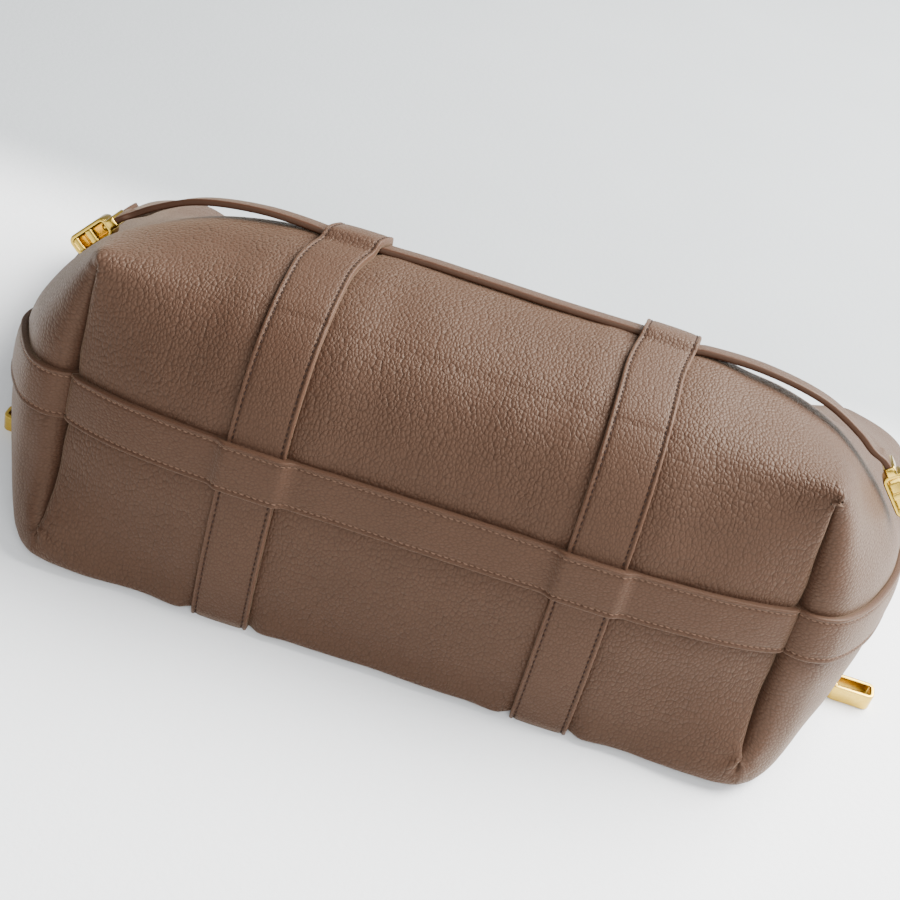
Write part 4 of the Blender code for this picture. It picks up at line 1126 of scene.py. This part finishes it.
def loopPiece(name, centre, along, side, hole, body, node, barred):
    axes, inner = (along, side, hole), (belt["length"] - belt["wall"], belt["across"] - belt["wall"])
    path = roundedOutline(*inner, belt["corner"] - belt["wall"] / 2, 7)
    ways = unit(np.roll(path, -1, 0) - np.roll(path, 1, 0))
    outs = np.stack([ways[:, 1], -ways[:, 0]], -1)
    outs = outs if outs[0] @ path[0] > 0 else -outs
    section = roundedOutline(belt["wall"], belt["deep"], belt["loopRound"], 4)
    rings = placed(centre, axes, [[(*(p + o * a), b) for a, b in section] for p, o in zip(path, outs)])
    sweptPiece(name, rings, [brass], body, node, loop=True)
    if barred:
        plate, behind = roundedOutline(*inner, 0.002, 5), belt["deep"] / 2 - belt["plateIn"]
        levels = ((-0.0006, 0.6), (-0.0003, 1), (0.0003, 1), (0.0006, 0.6))
        rings = placed(centre, axes, [[(x * k, y * k, behind + z) for x, y in plate] for z, k in levels])
        sweptPiece(name + "Plate", rings, [brass], body)
        blockAt = belt["length"] / 2 - belt["blockIn"]
        for part, at, wide in (("Bar", 0.0, belt["bar"]), ("Block", blockAt, belt["block"])):
            section = roundedOutline(wide, belt["deep"] - 0.0005, 0.0007, 4)
            rows = np.linspace(-inner[1] / 2, inner[1] / 2, 7)
            rings = placed(centre, axes, [[(at + a, s, b) for a, b in section] for s in rows])
            sweptPiece(name + part, rings, [brass], body)
    rivetAt = centre - along * (belt["length"] / 2 + 0.00005)
    turnedPiece(name + "Collar", rivetAt, along, side, belt["collar"], body, closed=True)


def turnedPiece(name, centre, along, side, profile, body, node=None, closed=False, sides=40):
    other = np.cross(along, side)
    angles = np.arange(sides) * 2 * math.pi / sides
    spokes = side[None, :] * np.cos(angles)[:, None] + other[None, :] * np.sin(angles)[:, None]
    rings = np.array([centre + along * x + spokes * r for x, r in profile])
    sweptPiece(name, rings, [brass], body, node, loop=closed, crease=38)


def tipPiece(name, centre, along, out, node):
    start, length, r = -belt["length"] / 2 - bag["fit"], belt["tip"], belt["tipEdge"]
    rings = []
    for x, grow in ((0, -r * 0.9), (0.00012, -r * 0.35), (r, 0), (length * 0.5, 0.0), (length - r, 0),
                    (length - 0.00012, -r * 0.35), (length, -r * 0.9)):
        outline = roundedOutline(belt["width"] + belt["lip"] + 2 * grow,
                                 belt["thick"] + 2 * belt["lip"] + 2 * grow, belt["tipCorner"] + grow, 6)
        rings.append([(start - length + x, a, b) for a, b in outline])
    sweptPiece(name, placed(centre, (along, np.cross(along, out), out), rings), [brass], "bag", node)
    inside, head, pin = -belt["length"] / 2 + belt["wall"] + bag["fit"], belt["head"], belt["pin"]
    profile = [(start - 0.001, pin), (inside, pin)]
    profile += [(inside + head * x, head * radius) for x, radius in belt["headShape"]]
    turnedPiece(name + "Pin", centre, along, out, profile, "bag")


def makeBelts():
    beltPiece("frontBelt", frontBeltPath(), "front_belt")
    beltPiece("backBelt", backBeltPath(), "back_belt")
    for endName, end in bothEnds:
        clasp, ring, title = f"front_clasp_{endName}", f"back_ring_{endName}", endName.title()
        centre, along = jointAt(clasp + "_swivel")
        out = outOf(along, up, np.array([end, 0, 0]))
        loopPiece("clasp" + title, centre, along, out, np.cross(along, out), clasp + "_body", clasp, True)
        tipPiece("frontTip" + title, centre, along, out, f"front_belt_tip_{endName}")
        centre, along = jointAt(ring + "_swivel")
        loopPiece("ring" + title, centre, along, np.array([0.0, 1, 0]), np.array([0.0, 0, 1]), ring + "_body",
                  ring, False)
        tipPiece("backTip" + title, centre, along, np.array([0.0, 0, -1]), f"back_belt_tip_{endName}")


makeBelts()
print("belts and metal ends made")


# handles

handle = {
    "drop": 0.090,
    "tube": 0.010,
    "flat": 0.014,
    "taper": 0.030,
    "arch": 0.8,           # below 1 the handle is squarer than a half circle
    "flatPower": 0.22,     # how square the section is where the handle is flat
    "seam": 0.0007,
    "seamWide": 0.10,
    "gap": 0.0005,
    "fold": 0.0002,
    "stitched": 0.026,
    "stitchIn": 0.0024,
    "turn": math.radians(178.5),       # the front handle lies folded back on the face
}


def handleFrame(side):
    x = np.array(strapMiddle)
    top, under = laid(*facePoint(side, x, 1.0)), laid(*facePoint(side, x, 0.87))
    upward = unit(top - under)
    out = outOf(np.array([1.0, 0, 0]), upward, np.array([0, 0, side]))
    start = top + out * (bag["fit"] + bag["strapThick"])
    other = laid(*facePoint(side, -x, 1.0))[0]
    half = (start[0] - other) / 2
    start[0] = (start[0] + other) / 2
    return start, upward, out, half


def handlePiece(name, side, node):
    start, upward, out, half = handleFrame(side)
    rise, leg, gap, sides = handle["drop"] - handle["tube"] / 2, handle["flat"], handle["gap"], 48
    path = [(half, s) for s in np.linspace(gap, leg, 12)[:-1]]
    for angle in np.linspace(0, math.pi, 91):
        wide = math.copysign(abs(math.cos(angle)) ** handle["arch"], math.cos(angle))
        path.append((half * wide, leg + (rise - leg) * math.sin(angle) ** handle["arch"]))
    path = np.array(path + [(-half, s) for s in np.linspace(leg, gap, 12)[1:]])
    way = unit(np.gradient(path, axis=0))
    fromEnd = np.minimum(lineLength(path), lineLength(path[::-1])[::-1])
    share = smooth(leg, leg + handle["taper"], fromEnd)
    width = strapWide + (handle["tube"] - strapWide) * share
    depth = bag["strapThick"] + (handle["tube"] - bag["strapThick"]) * share
    power = handle["flatPower"] + (1 - handle["flatPower"]) * share
    angle = (np.arange(sides) + 0.5) * 2 * math.pi / sides
    a, b = (np.sign(wave) * np.abs(wave) ** power[:, None] * size[:, None] / 2
            for wave, size in ((np.cos(angle), width), (np.sin(angle), depth)))
    seam = handle["seam"] * np.exp(-((angle - 1.5 * math.pi) / handle["seamWide"]) ** 2) * share[:, None]
    spreadS = np.where(path[:, 1:] <= gap, gap, path[:, 1:] - way[:, :1] * a)

    def place(x, s, n):
        points = start + np.stack([x, 0 * x, 0 * x], -1) + upward * s[..., None] + out * n[..., None]
        if side < 0:
            return points
        axis = start + out * handle["fold"]
        return axis + (points - axis) @ np.array(Matrix.Rotation(handle["turn"], 3, "X")).T

    rings = place(path[:, :1] + way[:, 1:] * a, spreadS, b + seam - depth[:, None] / 2)
    sweptPiece(name, rings, [handleLeather], node + "_body", node)
    rows = []
    for edge in (-1, 1):
        for end in (1, -1):
            keep = (fromEnd < handle["stitched"]) & (path[:, 0] * end > 0)
            w = edge * (width[keep] / 2 - handle["stitchIn"])
            x, s = path[keep, 0] + way[keep, 1] * w, path[keep, 1] - way[keep, 0] * w
            ratio = np.clip(np.abs(w) / (width[keep] / 2), 0, 1)
            top = depth[keep] / 2 * (1 - ratio ** (2 / power[keep])) ** (power[keep] / 2) - depth[keep] / 2
            line, above = place(x, s, top + strip["stitchUp"]), place(x, s, top + 0.0011)
            middles = np.arange(0.003, lineLength(line)[-1] - 0.001, strip["stitchPitch"])
            spots, ways, outs = stitchesAlong(line, above - line, middles, 0.0006)
            rows.append((spots, ways, unit(outs)))
    stitchPiece(name + "Stitches", rows, stitchThread, node + "_body")


handlePiece("frontHandle", 1, "front_handle")
handlePiece("backHandle", -1, "back_handle")
print("handles made")


# inside: lining, facings, snap and board

inside = {
    "liningThick": 0.0012,
    "liningDeep": 0.0036,      # from the outside of the leather to the lining, on the faces
    "liningEnd": 0.0060,       # the same on the ends, and on the base
    "liningBase": 0.0085,
    "liningColumns": [0, 0.02, 0.04, 0.06, 0.08, 0.1, 0.12, 0.14, 0.154, 0.165],
    "liningShares": [0.002, 0.15, 0.3, 0.5, 0.7, 0.88, 1.0],
    "liningRows": [0.0, 0.05, 0.1, 0.16, 0.22, 0.28, 0.34, 0.41, 0.48, 0.55, 0.62, 0.69, 0.76, 0.82, 0.866],
    "liningFolds": ((30, 15.3, 0.0012), (75, 21.9, 0.0004)),      # folds in a metre, seed and depth
    "facing": 0.0016,
    "facingDeep": 0.0025,
    "facingRows": (0.872, 0.9985),
    "facingStitched": (1, 7),
    "snap": 0.0075,
    "snapDeep": 0.0025,
}


def makeLining(name, side, node):
    half, rows = np.array(inside["liningColumns"]), np.array(inside["liningRows"])[:, None]
    columns, shares = np.concatenate([-half[:0:-1], half]), np.array(inside["liningShares"])
    base = laid(*basePoint(side, columns[None, :], shares[:-1, None]))
    main, low = np.concatenate([base, laid(*facePoint(side, columns[None, :], rows))]), len(base)
    depth = np.abs(cornerLine(side, rows)[2]) * shares[::-1][None, :]
    index = np.arange(main.shape[0] * main.shape[1]).reshape(main.shape[:2])
    points, faces = main.reshape(-1, 3), netFaces(index)
    for end, edge in ((-1, 0), (1, len(columns) - 1)):
        net = laid(*endPoint(side, end, rows, depth))
        faces += netFaces(endIndex(index, low, edge, net.shape[:2], len(points)))
        points = np.concatenate([points, net[1:, 1:].reshape(-1, 3)])
    work = bmesh.new()
    verts = [work.verts.new(p) for p in points]
    for face in faces:
        work.faces.new([verts[k] for k in face])
    bmesh.ops.recalc_face_normals(work, faces=work.faces)
    work.normal_update()
    work.verts.index_update()
    normals = np.array([v.normal for v in work.verts])
    rim = np.array([v.is_boundary for v in work.verts])[:, None]
    neighbours = [[e.other_vert(v).index for e in v.link_edges] for v in work.verts]
    work.free()
    if ((points - points.mean(0)) * normals).sum() < 0:
        normals = -normals
    tall = points @ up
    onBase = (np.abs(normals @ up) > 0.6) & (tall < tall.min() + 0.03)
    deep = np.where(np.abs(normals[:, 0]) > 0.6, inside["liningEnd"], inside["liningDeep"])
    points = points - normals * np.where(onBase, inside["liningBase"], deep)[:, None]
    for turn in range(3):
        average = np.array([points[n].mean(0) for n in neighbours])
        points = np.where(rim, points, points * 0.5 + average * 0.5)
    folds = sum(ripple(points, scale, seed) * deep for scale, seed, deep in inside["liningFolds"])
    points = points - normals * np.where(rim[:, 0], 0, folds.clip(0, 1) + 0.0002)[:, None]
    flat = np.stack([points[:, 0], points @ up + np.abs(points[:, 2])], -1)
    made = meshPiece(name, points, faces, flat, [canvas])
    thicken(made, inside["liningThick"])
    finer = made.modifiers.new("finer", "SUBSURF")
    finer.levels = finer.render_levels = 2
    attach(made, "bag", node)


def makeFacing(name, side, node):
    columns, rows = panelColumns()[::2], np.linspace(*inside["facingRows"], 9)
    face = laid(*facePoint(side, columns[None, :], rows[:, None]))
    shares = np.concatenate([np.linspace(0.004, 0.8, 14)[:-1], np.linspace(0.8, 1, 9)])[::-1]
    depth = np.abs(cornerLine(side, rows[:, None])[2]) * shares[None, :]
    ends = {end: laid(*endPoint(side, end, rows[:, None], depth)) for end in (-1, 1)}
    rim, count = len(shares) - 1, len(columns)
    ring = np.concatenate([ends[-1][:, :0:-1], face, ends[1][:, 1:]], 1)
    ring = roundedRows(ring, (rim, rim + count - 1), np.full(len(rows), panel["turn"][side]))
    n = outwardNormals(ring, 4, ring.shape[1] // 2, proud * side)
    wave = slackWave(ring)
    wave[:, rim:rim + count] = slackWave(face, columns[None, :])
    ring = ring + n * (wave - inside["facingDeep"])[..., None]
    index = np.arange(ring.shape[0] * ring.shape[1]).reshape(ring.shape[:2])
    made = meshPiece(name, ring.reshape(-1, 3), netFaces(index), netCorners(flatMap(ring)),
                     [facingLeather, cutEdge])
    thicken(made, inside["facing"], 1)
    attach(made, "bag", node)
    found = []
    for row in inside["facingStitched"]:
        line = ring[row] - n[row] * (inside["facing"] + strip["stitchUp"])
        middles = np.arange(0.004, lineLength(line)[-1] - 0.004, strip["stitchPitch"])
        found.append(stitchesAlong(line, -n[row], middles))
    stitchPiece(name + "Stitches", found, bandThread)


def makeSnap(name, side, node):
    under, top = (laid(*facePoint(side, np.array(0.0), share)) for share in (0.87, 1.0))
    upward = unit(top - under)
    out = outOf(np.array([1.0, 0, 0]), upward, np.array([0, 0, side]))
    lowCorner, highCorner = (np.array(corner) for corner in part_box(node))
    deep, r = inside["snapDeep"], inside["snap"]
    centre = (lowCorner + highCorner) / 2 + out * (deep / 2 + (0 if side > 0 else 0.0006))
    profile = [(-0.0003, r * 0.6), (0, r - 0.0012), (0.0004, r - 0.0004), (0.0010, r)]
    rim = ((0.0008, 0), (0.0003, 0.0003), (0, 0.0009), (0, 0.0016), (0.0004, 0.0019), (0.0004, 0.0026),
           (0, 0.0029))
    profile += [(deep - low, r - inwards) for low, inwards in rim]
    if side > 0:
        middle = [(0, 0.0033), (-0.0002, 0.0029), (-0.0011, 0.0026), (-0.0012, 0.0004)]     # a hollow
    else:
        middle = [(0, 0.0032), (0.0003, 0.0028), (0.0009, 0.0025), (0.0011, 0.0019), (0.0012, 0.0004)]
    profile += [(deep + rise, radius) for rise, radius in middle]
    turnedPiece(name, centre, -out, upward, profile, "bag", node)


for sideName, side in bothFaces:
    makeLining("lining" + sideName.title(), side, "lining_" + sideName)
    makeFacing("facing" + sideName.title(), side, "mouth_facing_" + sideName)
    makeSnap("snap" + sideName.title(), side, "magnetic_snap_" + sideName)
for slot in frame["nodes"]["base_board"].material_slots:
    slot.material = greyBoard
print("inside made")


# camera, floor and light

view = {
    "focal": 1640.0,       # pixels, for a picture 900 across
    "size": 900.0,
    "sensor": 36,
    "clip": (0.01, 50),
    "camera": (0.0332, -0.6295, 0.3224),      # this and the two directions are in the bag's own axes
    "right": (0.951, 0.166, 0.262),
    "ahead": (-0.044, 0.909, -0.414),
}


def turned(direction):
    x, h, u = direction
    return Vector((x, h * cosLean + u * sinLean, -h * sinLean + u * cosLean))


def makeCamera():
    ahead = turned(view["ahead"]).normalized()
    right = turned(view["right"])
    right = (right - ahead * right.dot(ahead)).normalized()
    lens = bpy.data.cameras.new("camera")
    lens.sensor_fit, lens.sensor_width = "HORIZONTAL", view["sensor"]
    lens.lens = view["focal"] / view["size"] * view["sensor"]
    lens.clip_start, lens.clip_end = view["clip"]
    made = bpy.data.objects.new("camera", lens)
    spot = Vector(laid(*[np.array(c) for c in view["camera"]]))
    axes = Matrix((right, right.cross(ahead), -ahead)).transposed()
    made.matrix_world = Matrix.Translation(spot) @ axes.to_4x4()
    bpy.context.scene.collection.objects.link(made)
    bpy.context.scene.camera = made


studio = {
    "floor": (0.90, 0.915, 0.925),
    # painted shade: the floor's far part is darker, standing for a backdrop in shade
    "shade": (0.400, 0.425, 0.437),
    "edge": (0.095, 0.185),      # the floor goes from its paler to its darker tone between these, in metres
    "half": 9,
    "sky": (0.93, 0.96, 1.0, 1),
    "ambient": 0.46,
}


def makeStage():
    t = Tree("paleFloor")
    at = t.node("ShaderNodeTexCoord", output=3)
    grain = t.noise(t.stretch(at, (260.0, 260.0, 260.0)), 1.0, 4.0, 0.65)
    # painted light: soft blotches of light painted on that darker far part
    mottledLight = t.noise(t.stretch(at, (6.0, 6.0, 6.0)), 1.3, 3.0)
    back = t.node("ShaderNodeSeparateXYZ", {}, {0: at}, output=1)
    far = t.node("ShaderNodeMapRange", {"interpolation_type": "SMOOTHSTEP"},
                 {0: back, 1: studio["edge"][0], 2: studio["edge"][1], 3: 0.0, 4: 1.0})
    # painted shade beyond the edge line, with the painted blotches of light on it
    pale, shade = t.tones(grain, studio["floor"], 0.97, 1), t.tones(mottledLight, studio["shade"], 0.93, 1.04)
    floorLook = t.finish({"Base Color": t.blend(far, pale, shade), "Roughness": 0.75 + grain * 0.1,
                          "Normal": t.bump(grain, 0.00025)})
    mesh, half = bpy.data.meshes.new("floor"), studio["half"]
    corners = [(-half, -half, 0), (half, -half, 0), (half, half, 0), (-half, half, 0)]
    mesh.from_pydata(corners, [], [(0, 1, 2, 3)])
    mesh.materials.append(floorLook)
    floor = bpy.data.objects.new("floor", mesh)
    bpy.context.scene.collection.objects.link(floor)


lamps = {
    "window": {"at": (0.92, 0.49, 1.15), "to": (0.0, 0.0, 0.04), "size": (1.5, 1.2), "power": 154,
               "tint": (1.0, 0.99, 0.975)},
    "fill": {"at": (0.30, -1.4, 1.0), "to": (0.0, -0.1, 0.05), "size": (1.6, 1.2), "power": 35,
             "tint": (0.98, 0.99, 1.0)},
}


def makeLamps():
    for name, lamp in lamps.items():
        light = bpy.data.lights.new(name, "AREA")
        light.shape = "RECTANGLE"
        light.size, light.size_y = lamp["size"]
        light.energy, light.color = lamp["power"], lamp["tint"]
        made = bpy.data.objects.new(name, light)
        made.location = lamp["at"]
        made.rotation_euler = (Vector(lamp["to"]) - Vector(lamp["at"])).to_track_quat("-Z", "Y").to_euler()
        bpy.context.scene.collection.objects.link(made)
    world = bpy.data.worlds.new("studio")
    world.use_nodes = True
    background = world.node_tree.nodes["Background"]
    background.inputs["Color"].default_value = studio["sky"]
    background.inputs["Strength"].default_value = studio["ambient"]
    bpy.context.scene.world = world


makeCamera()
makeStage()
makeLamps()
print("camera, floor and light placed")
